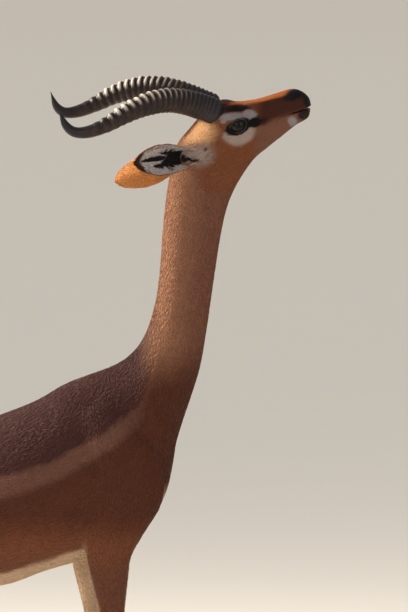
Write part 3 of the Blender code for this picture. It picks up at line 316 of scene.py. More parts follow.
def trunkRings():
    # each section is an oval between its back point and its under point, wider towards the belly
    table = np.column_stack([trunk["back"], trunk["under"], trunk["halfWidth"], trunk["pear"]])
    rows = readSmooth(table, trunk["grid"][0])
    turn = np.linspace(0, 2 * math.pi, trunk["grid"][1], endpoint=False)
    down = (1 - np.cos(turn)) / 2
    middle = rows[:, None, 0:2] + (rows[:, None, 2:4] - rows[:, None, 0:2]) * down[None, :, None]
    across = rows[:, 4:5] * np.sin(turn) * (1 + rows[:, 5:6] * (down - 0.5))
    return np.stack([middle[..., 0], across, middle[..., 1]], axis=2)


def headRings():
    # ovals between top and bottom, with soft swellings, and a mound of the lids over each eye
    rows = readSmooth(np.array(head["stations"], float), head["grid"][0])
    turn = np.linspace(0, 2 * math.pi, head["grid"][1], endpoint=False)
    down = (1 - np.cos(turn)) / 2
    tall = rows[:, 1:2] + (rows[:, 2:3] - rows[:, 1:2]) * down
    across = rows[:, 3:4] * np.sin(turn) * (1 + rows[:, 4:5] * (down - 0.5))
    points = np.stack([np.repeat(rows[:, 0:1], len(turn), 1), across, tall], axis=2)
    middle = np.stack([rows[:, 0], 0 * rows[:, 0], (rows[:, 1] + rows[:, 2]) / 2], axis=1)
    away = points - middle[:, None, :]
    away[..., 0] = 0
    away = unit(away)
    moved = points.copy()
    for centre, reach, height in head["swells"]:
        for sign in (1,) if centre[1] == 0 else (1, -1):
            moved += away * (height * bump(points, np.array(centre) * (1, sign, 1), reach))[..., None]
    eye, soft = head["eyePlace"], head["lidSoftness"]
    ball = ((head["eyeRadius"] + head["lidThickness"]) ** 2
            - (moved[..., 0] - eye[0]) ** 2 - (moved[..., 2] - eye[2]) ** 2)
    mound = eye[1] + np.sqrt(np.maximum(ball, 0.0))
    plain = np.abs(moved[..., 1])
    high = np.maximum(plain, mound)
    lifted = high + soft * np.log(np.exp((plain - high) / soft) + np.exp((mound - high) / soft))
    raised = (ball > 0) & (plain > head["lidFromMiddle"])
    moved[..., 1] = np.where(raised, np.sign(moved[..., 1]) * lifted, moved[..., 1])
    return moved


def strideShift(kind, sign, height):
    high, low = limbs["strideSpan"][kind]
    part = np.clip((high - height) / (high - low), 0, 1)
    return limbs["stride"]["%s%d" % (kind, sign)] * part * part * (3 - 2 * part)


def limbRows(stations, kind, sign, count):
    rows = readSmooth(np.array(stations), count)
    rows[:, 0] += strideShift(kind, sign, rows[:, 2])
    rows[:, 1] *= sign
    return rows


def tailRows(count):
    table = [(x, 0.0, z, half) for (x, z), half in zip(tail["line"], tail["halfWidth"])]
    return readSmooth(np.array(table), count)


# The skin: one even surface over all the flesh, as the solids are made, with finer relief.

skin = {
    "voxel": 0.0045, "relaxSteps": 10, "pulls": (0.55, -0.58), "faces": 188000,
    "coatDepth": 0.0013, "faceDepth": 0.0004, "headAbove": 1.4, "splitFrom": (0.245, 1.405),
    # where the mesh stays fine: from a place, over a stretch, in levels that each weigh less
    "keep": {"fromX": 0.20, "overX": 0.05, "fromZ": 1.37, "overZ": 0.06, "levels": 6, "each": 0.16},
    "easeShare": 0.6, "easeScale": (1, 0.7, 1),
    # creases that are eased on both sides: place, reach and passes
    "eased": (
        ((0.300, 0.000, 1.425), 0.055, 40), ((0.245, 0.000, 1.425), 0.055, 25),
        ((-0.040, 0.080, 0.910), 0.060, 40), ((-0.630, 0.060, 0.760), 0.070, 60),
        ((-0.600, 0.060, 0.660), 0.060, 40), ((-0.430, 0.090, 0.640), 0.060, 60),
        ((0.100, 0.070, 0.660), 0.050, 30), ((-0.070, 0.090, 0.640), 0.050, 30)),
    # muscles and bones under the skin: centre, reach and height in millimetres
    "relief": (
        ((0.020, 0.110, 0.850), (0.018, 0.050, 0.075), 2.0),
        ((-0.045, 0.110, 0.860), (0.020, 0.050, 0.070), -1.6),
        ((0.085, 0.090, 0.770), (0.030, 0.050, 0.050), 1.8),
        ((0.045, 0.110, 0.700), (0.040, 0.050, 0.040), 1.6),
        ((-0.060, 0.100, 0.700), (0.022, 0.050, 0.060), -1.8),
        ((0.150, 0.060, 1.000), (0.020, 0.050, 0.100), 1.6),
        ((0.172, 0.055, 1.180), (0.010, 0.050, 0.160), -1.3),
        ((0.200, 0.050, 1.200), (0.012, 0.050, 0.180), 1.2),
        ((-0.395, 0.100, 0.640), (0.026, 0.050, 0.060), -2.4),
        ((-0.470, 0.100, 0.700), (0.040, 0.050, 0.050), 1.8),
        ((-0.560, 0.100, 0.650), (0.035, 0.050, 0.070), 1.8),
        ((-0.450, 0.080, 0.805), (0.018, 0.040, 0.016), 2.2),
        ((-0.400, 0.090, 0.760), (0.040, 0.050, 0.030), -1.6),
        ((-0.610, 0.050, 0.775), (0.018, 0.030, 0.018), 1.8)),
    # ribs: first and last place along the trunk, their spacing, height in millimetres, and how they lean
    "ribs": {"first": -0.33, "last": -0.10, "spacing": 0.027, "height": 0.55, "lean": -0.28, "middle": 0.735,
             "fade": 0.05, "reach": 0.085},
}


def neighbourOffset(points, edges, near):
    # from each point to the mean of its neighbours
    total = np.column_stack([
        np.bincount(edges[:, 0], weights=points[edges[:, 1], axis], minlength=len(points))
        + np.bincount(edges[:, 1], weights=points[edges[:, 0], axis], minlength=len(points))
        for axis in range(3)])
    return total / near - points


def evened(mesh):
    # relaxes the whole surface without shrinking it, then eases the creases most at their middles
    edges = np.empty(len(mesh.edges) * 2, dtype=np.int32)
    mesh.edges.foreach_get("vertices", edges)
    edges = edges.reshape(-1, 2)
    points = meshPoints(mesh)
    near = np.bincount(edges.ravel(), minlength=len(points))[:, None]
    for step in range(skin["relaxSteps"]):
        for pull in skin["pulls"]:
            points = points + pull * neighbourOffset(points, edges, near)
    for centre, reach, passes in skin["eased"]:
        away = np.column_stack([points[:, 0], np.abs(points[:, 1]), points[:, 2]]) - np.array(centre)
        share = np.exp(-(np.linalg.norm(away * skin["easeScale"], axis=1) / reach) ** 2)[:, None]
        share = skin["easeShare"] * share
        for step in range(passes):
            points = points + share * neighbourOffset(points, edges, near)
    setPoints(mesh, points)


def skinRelief(points, headPoints):
    # height of the finer relief in metres: hills and hollows, folds of the face, and ribs
    mirrored = np.column_stack([points[:, 0], np.abs(points[:, 1]), points[:, 2]])
    height = sum(rise * bump(mirrored, centre, reach) for centre, reach, rise in skin["relief"])
    ribs = skin["ribs"]
    along = points[:, 0] - ribs["lean"] * (points[:, 2] - ribs["middle"])
    inRibs = (np.clip((along - ribs["first"]) / ribs["fade"], 0, 1)
              * np.clip((ribs["last"] - along) / ribs["fade"], 0, 1)
              * np.exp(-((points[:, 2] - ribs["middle"]) / ribs["reach"]) ** 2))
    height = height + ribs["height"] * inRibs * np.cos(2 * math.pi * along / ribs["spacing"])
    sides = np.column_stack([headPoints[:, 0], np.abs(headPoints[:, 1]), headPoints[:, 2]])
    near = headPoints[:, 0] > -60
    face = sum(rise * bump(sides, centre, reach) for centre, reach, rise in head["relief"])
    return 0.001 * (height + np.where(near & (points[:, 2] > skin["headAbove"]), face, 0.0))


def coatDepthAt(points, headPoints):
    # how deep the skin lies under the coat's outer face: thin towards the nose, lips and lids
    muzzle = np.clip((headPoints[:, 0] - 40) / 120, 0, 1) * (points[:, 2] > skin["headAbove"])
    feet = np.clip((0.30 - points[:, 2]) / 0.2, 0, 1)
    share = np.maximum(muzzle, 0.5 * feet)
    return skin["coatDepth"] * (1 - share) + skin["faceDepth"] * share


def almond(scale=1.0, count=28):
    # outline of the eye's opening about its middle: a flattened sine gives its two corners
    turn = np.linspace(0, 2 * math.pi, count, endpoint=False)
    along = scale * head["eyeHalfLength"] * np.cos(turn)
    tall = scale * head["eyeHalfHeight"] * np.sign(np.sin(turn)) * np.abs(np.sin(turn)) ** head["lidPoint"]
    tilt = math.radians(head["eyeTilt"])
    return np.column_stack([along * math.cos(tilt) - tall * math.sin(tilt),
                            along * math.sin(tilt) + tall * math.cos(tilt)])


def ballRings(radius, first, last, steps, sides):
    # rings about +Y from one polar angle to the other
    angles = np.linspace(first, last, steps)[:, None]
    turn = np.linspace(0, 2 * math.pi, sides, endpoint=False)
    return radius * np.stack([np.sin(angles) * np.cos(turn), np.cos(angles) + 0 * turn,
                              np.sin(angles) * np.sin(turn)], axis=2)


def cutterForms(sign):
    # what is cut from the skin on one side of the head: eye socket, lid opening, nostril and mouth line
    eye = np.array(head["eyePlace"])
    socket = ballRings(head["eyeRadius"] + head["socketGap"], 0.06, 1.75, 18, 32) + eye
    outline = almond()
    opening = np.stack([
        np.column_stack([scale * outline[:, 0], 0 * outline[:, 0] + out, scale * outline[:, 1]]) + eye
        for out, scale in head["lidCut"]])
    length, width, tall = head["nostrilSize"]
    angles = np.linspace(0.1, math.pi - 0.1, 18)[:, None]
    turn = np.linspace(0, 2 * math.pi, 20, endpoint=False)
    along = length * np.cos(angles) + 0 * turn
    swell = np.sin(angles) * (1 + head["nostrilSwell"] * np.cos(angles))
    across = width * swell * np.cos(turn) - head["nostrilLean"] * (along + length)
    high = tall * swell * np.sin(turn)
    tilt, place = math.radians(head["nostrilTilt"]), head["nostrilPlace"]
    nostril = np.stack([place[0] + along * math.cos(tilt) - high * math.sin(tilt), place[1] + across,
                        place[2] + along * math.sin(tilt) + high * math.cos(tilt)], axis=2)
    forms = [socket, opening, nostril, mouthRings(head["mouthDepth"], 50, 0.0)]
    return [rings * (1, sign, 1) for rings in forms]


def mouthRings(lowY, highY, firstShare):
    # a thin wedge along the curve of the lips
    places = np.linspace(firstShare, 1, 12) * 2
    middle = smoothRow(np.array(head["mouth"], float), places)
    half = smoothRow(np.array(head["mouthOpen"])[:, None], places)[:, 0]
    x, z, low, high = middle[:, 0], middle[:, 1], np.full(12, lowY), np.full(12, highY)
    return np.stack([np.column_stack(corner) for corner in (
        (x, low, z - half), (x, high, z - half), (x, high, z + half), (x, low, z + half))], axis=1)


def cutFrom(item, forms):
    # cuts closed forms, in drawing metres, from an item
    for number, form in enumerate(forms):
        cutter = outward(linkMesh("cutter%d" % number, meshFrom("cutter", *form)))
        cutter.hide_render = True
        step = item.modifiers.new("cut", "BOOLEAN")
        step.operation, step.solver, step.object = "DIFFERENCE", "MANIFOLD", cutter
        applied(item)
        bpy.data.objects.remove(cutter, do_unlink=True)


def footPlace(kind, sign):
    x, y, z = limbs[kind][-2][:3]
    return np.array([x + float(strideShift(kind, sign, z)), sign * y, 0.0])


def coronetBlock(kind, sign):
    # the block under a foot's sloping coronet, which ends the leg
    foot, rise, half = footPlace(kind, sign), math.tan(math.radians(hoof["coronetSlope"])), 0.05
    corners = ((-1, -1), (1, -1), (1, 1), (-1, 1))
    rings = np.array([[(foot[0] + half * x, foot[1] + half * y,
                        -half if level == 0 else hoof["coronetHeight"] + rise * half * x)
                       for x, y in corners] for level in (0, 1)])
    return loftArrays(rings)


def makeSkin():
    forms = [loftArrays(trunkRings()), loftArrays(fromHead(headRings()))]
    for sign in (-1, 1):
        for kind, grid in (("fore", limbs["grid"]), ("hind", limbs["grid"]), ("tendon", limbs["tendonGrid"])):
            rows = limbRows(limbs[kind], "hind" if kind == "tendon" else kind, sign, grid[0])
            rings = pathRings(rows[:, :3], rows[:, 3], rows[:, 4], grid[1], limbs["turnSteps"])
            forms.append(loftArrays(rings))
    rows = tailRows(tail["grid"][0])
    flat = tail["flatness"] * rows[:, 3]
    forms.append(loftArrays(pathRings(rows[:, :3], flat, rows[:, 3], tail["grid"][1])))
    item = linkMesh("skin", meshFrom("skin", *joinArrays(forms)))
    outward(item)
    even = item.modifiers.new("even", "REMESH")
    even.mode, even.voxel_size = "VOXEL", skin["voxel"]
    applied(item)
    evened(item.data)
    finer = item.modifiers.new("finer", "SUBSURF")
    finer.levels = finer.render_levels = 1
    applied(item)
    work = bmesh.new()
    work.from_mesh(item.data)
    fromX, fromZ = skin["splitFrom"]
    middles = [(face, face.calc_center_median()) for face in work.faces]
    faces = [face for face, middle in middles if middle.x > fromX and middle.z > fromZ]
    edges = list({edge for face in faces for edge in face.edges})
    bmesh.ops.subdivide_edges(work, edges=edges, cuts=1, use_grid_fill=True, smooth=0.0)
    work.to_mesh(item.data)
    work.free()
    points = meshPoints(item.data)
    headPoints = toHead(points)
    lift = skinRelief(points, headPoints) - coatDepthAt(points, headPoints)
    setPoints(item.data, points + lift[:, None] * meshNormals(item.data))
    print("skin surface", len(item.data.polygons))
    fewer = item.modifiers.new("fewer", "DECIMATE")
    fewer.use_collapse_triangulate = True
    fewer.ratio = skin["faces"] / (2.0 * len(item.data.polygons))
    group = item.vertex_groups.new(name="plain")
    keep = skin["keep"]
    fine = (np.clip((points[:, 2] - keep["fromZ"]) / keep["overZ"], 0, 1)
            * np.clip((points[:, 0] - keep["fromX"]) / keep["overX"], 0, 1))
    for level in range(keep["levels"]):
        chosen = np.nonzero(np.round(fine * (keep["levels"] - 1)).astype(int) == level)[0]
        group.add(chosen.tolist(), 1.0 - keep["each"] * level, "REPLACE")
    fewer.vertex_group, fewer.vertex_group_factor = group.name, 1.0
    applied(item)
    item.vertex_groups.clear()
    cuts = [coronetBlock(kind, sign) for kind in ("fore", "hind") for sign in (-1, 1)]
    for sign in (-1, 1):
        cuts += [loftArrays(fromHead(rings)) for rings in cutterForms(sign)]
    share = (head["mouthThrough"] - head["mouth"][0][0]) / (head["mouth"][2][0] - head["mouth"][0][0])
    cuts.append(loftArrays(fromHead(mouthRings(-50, 50, share))))
    cutFrom(item, cuts)
    print("skin cut", len(item.data.polygons))
    return item


# The lie of the coat: middle lines of the parts, with the way that the hair lies along each.

lie = {
    "samples": {"trunk": 56, "head": 14, "limb": 40, "tail": 16},
    "crowding": 5.0, "flankDrop": 0.28,
    # the rectangle of each part on the unwrapped coat: left, bottom, width, height
    "sheets": {"trunk": (0.01, 0.01, 0.54, 0.98), "head": (0.57, 0.01, 0.42, 0.27),
               "fore-1": (0.57, 0.30, 0.095, 0.69), "fore1": (0.675, 0.30, 0.095, 0.69),
               "hind-1": (0.78, 0.30, 0.095, 0.69), "hind1": (0.885, 0.30, 0.095, 0.69),
               "tail": (0.552, 0.30, 0.014, 0.69)},
}


def coatLines():
    # name, points, way of the hair, half width of the part, distance along
    lines = []
    table = np.column_stack([trunk["back"], trunk["under"], trunk["halfWidth"]])
    rows = readSmooth(table, lie["samples"]["trunk"])[:-5]
    middle = np.column_stack([(rows[:, 0] + rows[:, 2]) / 2, 0 * rows[:, 0], (rows[:, 1] + rows[:, 3]) / 2])
    tall = np.linalg.norm(rows[:, 0:2] - rows[:, 2:4], axis=1) / 2
    lines.append(["trunk", middle[::-1], ((rows[:, 4] + tall) / 2)[::-1]])
    rows = readSmooth(np.array(head["stations"], float)[1:], lie["samples"]["head"])[::-1]
    middle = fromHead(np.column_stack([rows[:, 0], 0 * rows[:, 0], (rows[:, 1] + rows[:, 2]) / 2]))
    lines.append(["head", middle, 0.001 * (rows[:, 3] + (rows[:, 1] - rows[:, 2]) / 2) / 2])
    for kind in ("fore", "hind"):
        for sign in (-1, 1):
            rows = limbRows(limbs[kind], kind, sign, lie["samples"]["limb"])
            lines.append(["%s%d" % (kind, sign), rows[:, :3], (rows[:, 3] + rows[:, 4]) / 2])
    rows = tailRows(lie["samples"]["tail"])
    lines.append(["tail", rows[:, :3], rows[:, 3]])
    found = []
    for name, middle, radius in lines:
        along = unit(np.gradient(middle, axis=0))
        distance = np.concatenate([[0], np.cumsum(np.linalg.norm(np.diff(middle, axis=0), axis=1))])
        found.append((name, middle, along, radius, distance))
    return found


def coatLie(points, normals):
    # for each point: the way of its hair, the nearest part, its place round and along that part, and its
    # place unwrapped
    best = np.full(len(points), np.inf)
    flow = np.zeros((len(points), 3))
    part = np.zeros(len(points), dtype=int)
    around, along, sheet = np.zeros(len(points)), np.zeros(len(points)), np.zeros((len(points), 2))
    for number, (name, middle, way, radius, distance) in enumerate(coatLines()):
        square = ((points ** 2).sum(1)[:, None] - 2 * points @ middle.T + (middle ** 2).sum(1)[None, :])
        scaled = np.sqrt(np.maximum(square, 0)) / radius[None, :]
        nearest = scaled.argmin(axis=1)
        ratio = scaled[np.arange(len(points)), nearest]
        flow += np.exp(-lie["crowding"] * ratio)[:, None] * way[nearest]
        sideWay = np.array([0.0, 1.0, 0.0])
        upWay = unit(np.cross(way[nearest], sideWay))
        off = points - middle[nearest]
        angle = np.arctan2(off[:, 1], (off * upWay).sum(1))
        place = distance[nearest] + (off * way[nearest]).sum(1)
        closer = ratio < best
        best = np.where(closer, ratio, best)
        part = np.where(closer, number, part)
        around = np.where(closer, angle * radius[nearest], around)
        along = np.where(closer, place, along)
        left, bottom, width, height = lie["sheets"][name]
        spot = np.column_stack([left + width * (angle / (2 * math.pi) + 0.5),
                                bottom + height * np.clip(place / distance[-1], 0, 1)])
        sheet = np.where(closer[:, None], spot, sheet)
    flow = unit(flow)
    onFlank = np.clip(np.abs(normals[:, 1]), 0, 1) * (part == 0)
    flow[:, 2] -= lie["flankDrop"] * onFlank
    flow = unit(flow - normals * (flow * normals).sum(1)[:, None])
    return flow, part, around, along, sheet


# The coat: short flat tufts, each a closed sliver with its root sunk in the skin and its tip a little proud.

coat = {
    "tufts": 150000, "perPiece": 31000, "sink": 0.0005, "lift": 0.0011, "thick": 0.00035,
    "jitter": 0.16, "swirl": 0.10, "widest": 0.42, "widthShare": 0.17,
    # length by place, in metres
    "trunk": 0.0125, "neck": 0.0100, "nape": 0.0080, "muzzle": 0.0032, "thigh": 0.0120, "foot": 0.0060,
    "tailCore": 0.0100, "patch": 0.003,
}


def tuftLength(points, headPoints, part):
    # long on the trunk, shorter up the neck, shortest on the muzzle and the feet
    neck = np.clip((points[:, 2] - 0.95) / 0.25, 0, 1)
    length = coat["trunk"] * (1 - neck) + coat["neck"] * neck
    muzzle = np.clip((headPoints[:, 0] + 20) / 220, 0, 1)
    length = np.where(part == 1, coat["nape"] * (1 - muzzle) + coat["muzzle"] * muzzle, length)
    foot = np.clip((0.62 - points[:, 2]) / 0.5, 0, 1)
    onLimb = (part >= 2) & (part <= 5)
    length = np.where(onLimb, coat["thigh"] * (1 - foot) + coat["foot"] * foot, length)
    return np.where(part == 6, coat["tailCore"], length)


def bareShare(headPoints, points):
    # 0 where no hair grows: the eye's opening, the nose, the nostrils, the lips' edge, and under the horns
    x, y, z = headPoints[:, 0], np.abs(headPoints[:, 1]), headPoints[:, 2]
    onHead = points[:, 2] > 1.38
    eye = head["eyePlace"]
    tilt = math.radians(head["eyeTilt"])
    dx, dz = x - eye[0], z - eye[2]
    inEye = (((dx * math.cos(tilt) + dz * math.sin(tilt)) / 21.5) ** 2
             + ((dz * math.cos(tilt) - dx * math.sin(tilt)) / 15.5) ** 2 < 1) & (y > 10)
    nostril = ((x - 221) / 18) ** 2 + ((z - 39.5) / 7.5) ** 2 < 1
    pad = (x > 238) & (z > 8) & (y < 13)
    line = np.interp(x, (163, 200, 250), (-3, 5, 3))
    lips = (np.abs(z - line) < np.interp(x, (163, 200, 240), (1.2, 1.8, 5.5))) & (x > 162)
    hornSpot = ((x - 47) / 22) ** 2 + ((y - 27) / 16) ** 2 + ((z - 64) / 20) ** 2 < 1
    return np.where(onHead & (inEye | nostril | pad | lips | hornSpot), 0.0, 1.0)


def skinSamples(mesh, count):
    # places on the skin, spread by area over the square of the tufts' length, with the skin's normal there
    mesh.calc_loop_triangles()
    corners = np.empty(len(mesh.loop_triangles) * 3, dtype=np.int32)
    mesh.loop_triangles.foreach_get("vertices", corners)
    corners = corners.reshape(-1, 3)
    points, normals = meshPoints(mesh), meshNormals(mesh)
    a, b, c = points[corners[:, 0]], points[corners[:, 1]], points[corners[:, 2]]
    area = np.linalg.norm(np.cross(b - a, c - a), axis=1) / 2
    middle = (a + b + c) / 3
    headMiddle = toHead(middle)
    faceNormal = unit(np.cross(b - a, c - a))
    part = coatLie(middle, faceNormal)[1]
    length = tuftLength(middle, headMiddle, part)
    weight = area / length ** 1.6 * bareShare(headMiddle, middle)
    pick = np.searchsorted(np.cumsum(weight) / weight.sum(), (np.arange(count) + draw.random(count)) / count)
    pick = np.clip(pick, 0, len(corners) - 1)
    first, second = draw.random(count), draw.random(count)
    over = first + second > 1
    first, second = np.where(over, 1 - first, first), np.where(over, 1 - second, second)
    mix = np.column_stack([1 - first - second, first, second])
    chosen = corners[pick]
    return (np.einsum("nk,nkj->nj", mix, points[chosen]),
            unit(np.einsum("nk,nkj->nj", mix, normals[chosen])))


def onSurface(target, points, lift):
    # the nearest places on the target, lifted off it
    mesh = bpy.data.meshes.new("probe")
    mesh.vertices.add(len(points))
    mesh.vertices.foreach_set("co", points.astype(np.float32).ravel())
    probe = linkMesh("probe", mesh)
    wrap = probe.modifiers.new("wrap", "SHRINKWRAP")
    wrap.target, wrap.offset = target, lift
    wrap.wrap_method, wrap.wrap_mode = "NEAREST_SURFACEPOINT", "ABOVE_SURFACE"
    applied(probe)
    found = meshPoints(probe.data)
    bpy.data.objects.remove(probe, do_unlink=True)
    return found


sliverFaces = np.array(((0, 1, 3), (0, 3, 2), (0, 2, 1), (4, 3, 1), (4, 2, 3), (4, 1, 2)))


def sliverPoints(root, middle, tip, side, normal, width, thick):
    # five points of a sliver: root, right, left and top at its widest, and tip
    half = side * (width / 2)[:, None]
    return np.stack([root, middle - half, middle + half, middle + normal * thick[:, None], tip], axis=1)


def coatPiece(name, slivers, roots, hair, sheet, material):
    # many slivers as one mesh, with their root places, their own numbers and a patch each on the unwrapped
    # skin
    count = len(slivers)
    faces = (np.arange(count)[:, None, None] * 5 + sliverFaces[None]).reshape(-1, 3)
    mesh = meshFrom(name, slivers.reshape(-1, 3) + shift, faces)
    addAttribute(mesh, "rootPlace", np.repeat(roots, 5, axis=0))
    along = np.tile(np.array([0.0, 0.45, 0.45, 0.45, 1.0]), count)
    values = np.column_stack([np.repeat(hair[:, 0], 5), along, np.repeat(hair[:, 1], 5)])
    addAttribute(mesh, "hair", values)
    patch = np.array(((0, -1), (-0.7, 0), (0.7, 0), (0, 0.2), (0, 1))) * coat["patch"] / 2
    spots = (sheet[:, None, :] + patch[None]).reshape(-1, 2)
    layer = mesh.uv_layers.new(name="OFBake")
    layer.data.foreach_set("uv", spots[faces.ravel()].astype(np.float32).ravel())
    mesh.polygons.foreach_set("use_smooth", np.ones(len(mesh.polygons), dtype=bool))
    mesh.materials.append(material)
    return linkMesh(name, mesh)


def makeCoat(body, material):
    count = coat["tufts"]
    roots, normals = skinSamples(body.data, count)
    flow, part, around, along, sheet = coatLie(roots, normals)
    headPoints = toHead(roots)
    length = tuftLength(roots, headPoints, part) * (0.75 + 0.5 * draw.random(count))
    side = np.cross(normals, flow)
    swirl = (coat["swirl"] * (np.sin(roots[:, 0] * 61 + 1.7 * np.sin(roots[:, 2] * 47))
                              + np.sin(roots[:, 2] * 83 + 2.1 * np.sin(roots[:, 1] * 71)))
             + coat["jitter"] * draw.standard_normal(count))
    flow = unit(flow + side * swirl[:, None])
    side = np.cross(normals, flow)
    fineness = np.clip(length / coat["trunk"], 0.3, 1)
    lift = coat["lift"] * fineness * (0.35 + 0.9 * draw.random(count))
    reach = roots + flow * length[:, None]
    tips = onSurface(body, reach, 0.0)
    tips += normals * lift[:, None]
    bend = tips - reach
    far = np.linalg.norm(bend, axis=1) > 0.35 * length
    tips = np.where(far[:, None], reach + normals * lift[:, None], tips)
    bend = tips - reach
    middle = (roots + flow * (coat["widest"] * length)[:, None] + 0.25 * bend
              + normals * (0.35 * lift)[:, None])
    width = coat["widthShare"] * length * (0.8 + 0.4 * draw.random(count))
    width *= np.where(length < 0.007, 1.5, 1.0)
    thick = coat["thick"] * fineness
    slivers = sliverPoints(roots - normals * coat["sink"], middle, tips, side, normals, width, thick)
    order = np.argsort(part * 10 + np.clip(along, 0, 2), kind="stable")
    hair = np.column_stack([draw.random(count), draw.random(count)])
    pieces = []
    total = math.ceil(count / coat["perPiece"])
    for number, chosen in enumerate(np.array_split(order, total)):
        pieces.append(coatPiece("coat_%d" % (number + 1), slivers[chosen], roots[chosen], hair[chosen],
                                sheet[chosen], material))
    print("coat tufts", count, "in", total, "pieces")
    return pieces


# Eyes, lids, lashes and whiskers.

eyes = {"front": 0.02, "back": 1.75, "grid": (48, 64), "lidOut": 1.7, "lidUpper": 2.0, "lidLower": 1.35,
        "lashes": 34, "lashLength": 9.0, "whiskers": 16, "whiskerLength": 15.0}


def finish(item, material, slotName, *replaced):
    # moves a piece from the drawing to the frame, gives it its finish and hides the frame's parts that it
    # replaces
    setPoints(item.data, meshPoints(item.data) + shift)
    settle(item, material, slotName, *replaced)
    return item


def settle(item, material, slotName, *replaced):
    item.data.polygons.foreach_set("use_smooth", np.ones(len(item.data.polygons), dtype=bool))
    item.data.materials.clear()
    item.data.materials.append(material)
    item.data.polygons.foreach_set("material_index", np.zeros(len(item.data.polygons), dtype=np.int32))
    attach(item, "root")
    if replaced:
        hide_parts(*replaced)


def makeEye(side, material):
    # a ball about the way the eye faces; its attribute holds the place on the ball, turned to the lids' tilt
    sign = sideSigns[side]
    rings = ballRings(1.0, eyes["front"], eyes["back"], *eyes["grid"])
    points, quads, ends = loftArrays(rings)
    tilt = math.radians(head["eyeTilt"])
    gaze = np.column_stack([points[:, 0] * math.cos(tilt) + points[:, 2] * math.sin(tilt), points[:, 1],
                            points[:, 2] * math.cos(tilt) - points[:, 0] * math.sin(tilt)])
    cornea = 1 + 0.035 * np.clip((points[:, 1] - 0.78) / 0.22, 0, 1) ** 2
    placed = fromHead((points * cornea[:, None] * head["eyeRadius"] + head["eyePlace"]) * (1, sign, 1))
    item = outward(linkMesh("eyeball_" + side, meshFrom("eyeball", placed, quads, ends)))
    addAttribute(item.data, "gaze", gaze)
    return finish(item, material, "eye", "eye_" + side)


def lidLine(radius, scale, count):
    # the almond laid on a ball round the eye, with its outward ways
    flat = almond(scale, count)
    deep = np.sqrt(np.maximum(radius ** 2 - (flat ** 2).sum(1), 4.0))
    line = np.column_stack([flat[:, 0], deep, flat[:, 1]])
    return line, unit(line)


def makeLid(side, material):
    # a soft rim round the opening: a closed tube along the almond, thicker over the eye than under it
    sign = sideSigns[side]
    line, away = lidLine(head["eyeRadius"] + eyes["lidOut"], 1.04, 72)
    along = unit(np.roll(line, -1, 0) - np.roll(line, 1, 0))
    across = np.cross(along, away)
    upper = 0.5 + 0.5 * np.clip(line[:, 2] / 8, -1, 1)
    size = eyes["lidLower"] * (1 - upper) + eyes["lidUpper"] * upper
    turn = np.linspace(0, 2 * math.pi, 14, endpoint=False)
    rings = line[:, None, :] + size[:, None, None] * (
        np.cos(turn)[None, :, None] * away[:, None, :] * 0.8
        + 1.25 * np.sin(turn)[None, :, None] * across[:, None, :])
    placed = fromHead((rings + np.array(head["eyePlace"])) * (1, sign, 1)).reshape(-1, 3)
    faces = tubeFaces(73, 14) % (72 * 14)
    return finish(outward(linkMesh("lid_" + side, meshFrom("lid", placed, faces))), material, "coat_head")


def hairMesh(name, roots, ways, normals, lengths, widths, droop, steps=5):
    # long hairs: tapered three-sided strands that leave along their way and bend by droop
    share = np.linspace(0, 1, steps)[None, :, None]
    middle = roots[:, None, :] + ways[:, None, :] * lengths[:, None, None] * share
    middle = middle + droop[:, None, :] * lengths[:, None, None] * share ** 2
    side = unit(np.cross(normals, ways))[:, None, :]
    up = unit(np.cross(ways, side[:, 0]))[:, None, :]
    taper = (1 - share * 0.9) * (0.7 + 0.9 * share * (1 - share) * 4 * 0.35) * widths[:, None, None]
    rings = np.stack([middle + side * taper, middle - side * taper * 0.5 + up * taper * 0.4,
                      middle - side * taper * 0.5 - up * taper * 0.4], axis=2)
    count = len(roots)
    base = (np.arange(count) * steps * 3)[:, None, None]
    quads = (tubeFaces(steps, 3)[None] + base).reshape(-1, 4)
    ends = np.array(((0, 2, 1), ((steps - 1) * 3, (steps - 1) * 3 + 1, (steps - 1) * 3 + 2)))
    ends = (ends[None] + base).reshape(-1, 3)
    mesh = meshFrom(name, rings.reshape(-1, 3), quads, ends)
    strand = np.repeat(draw.random(count), steps * 3)
    along = np.tile(np.repeat(share[0, :, 0], 3), count)
    addAttribute(mesh, "hair", np.column_stack([strand, along, strand]))
    return outward(linkMesh(name, mesh))


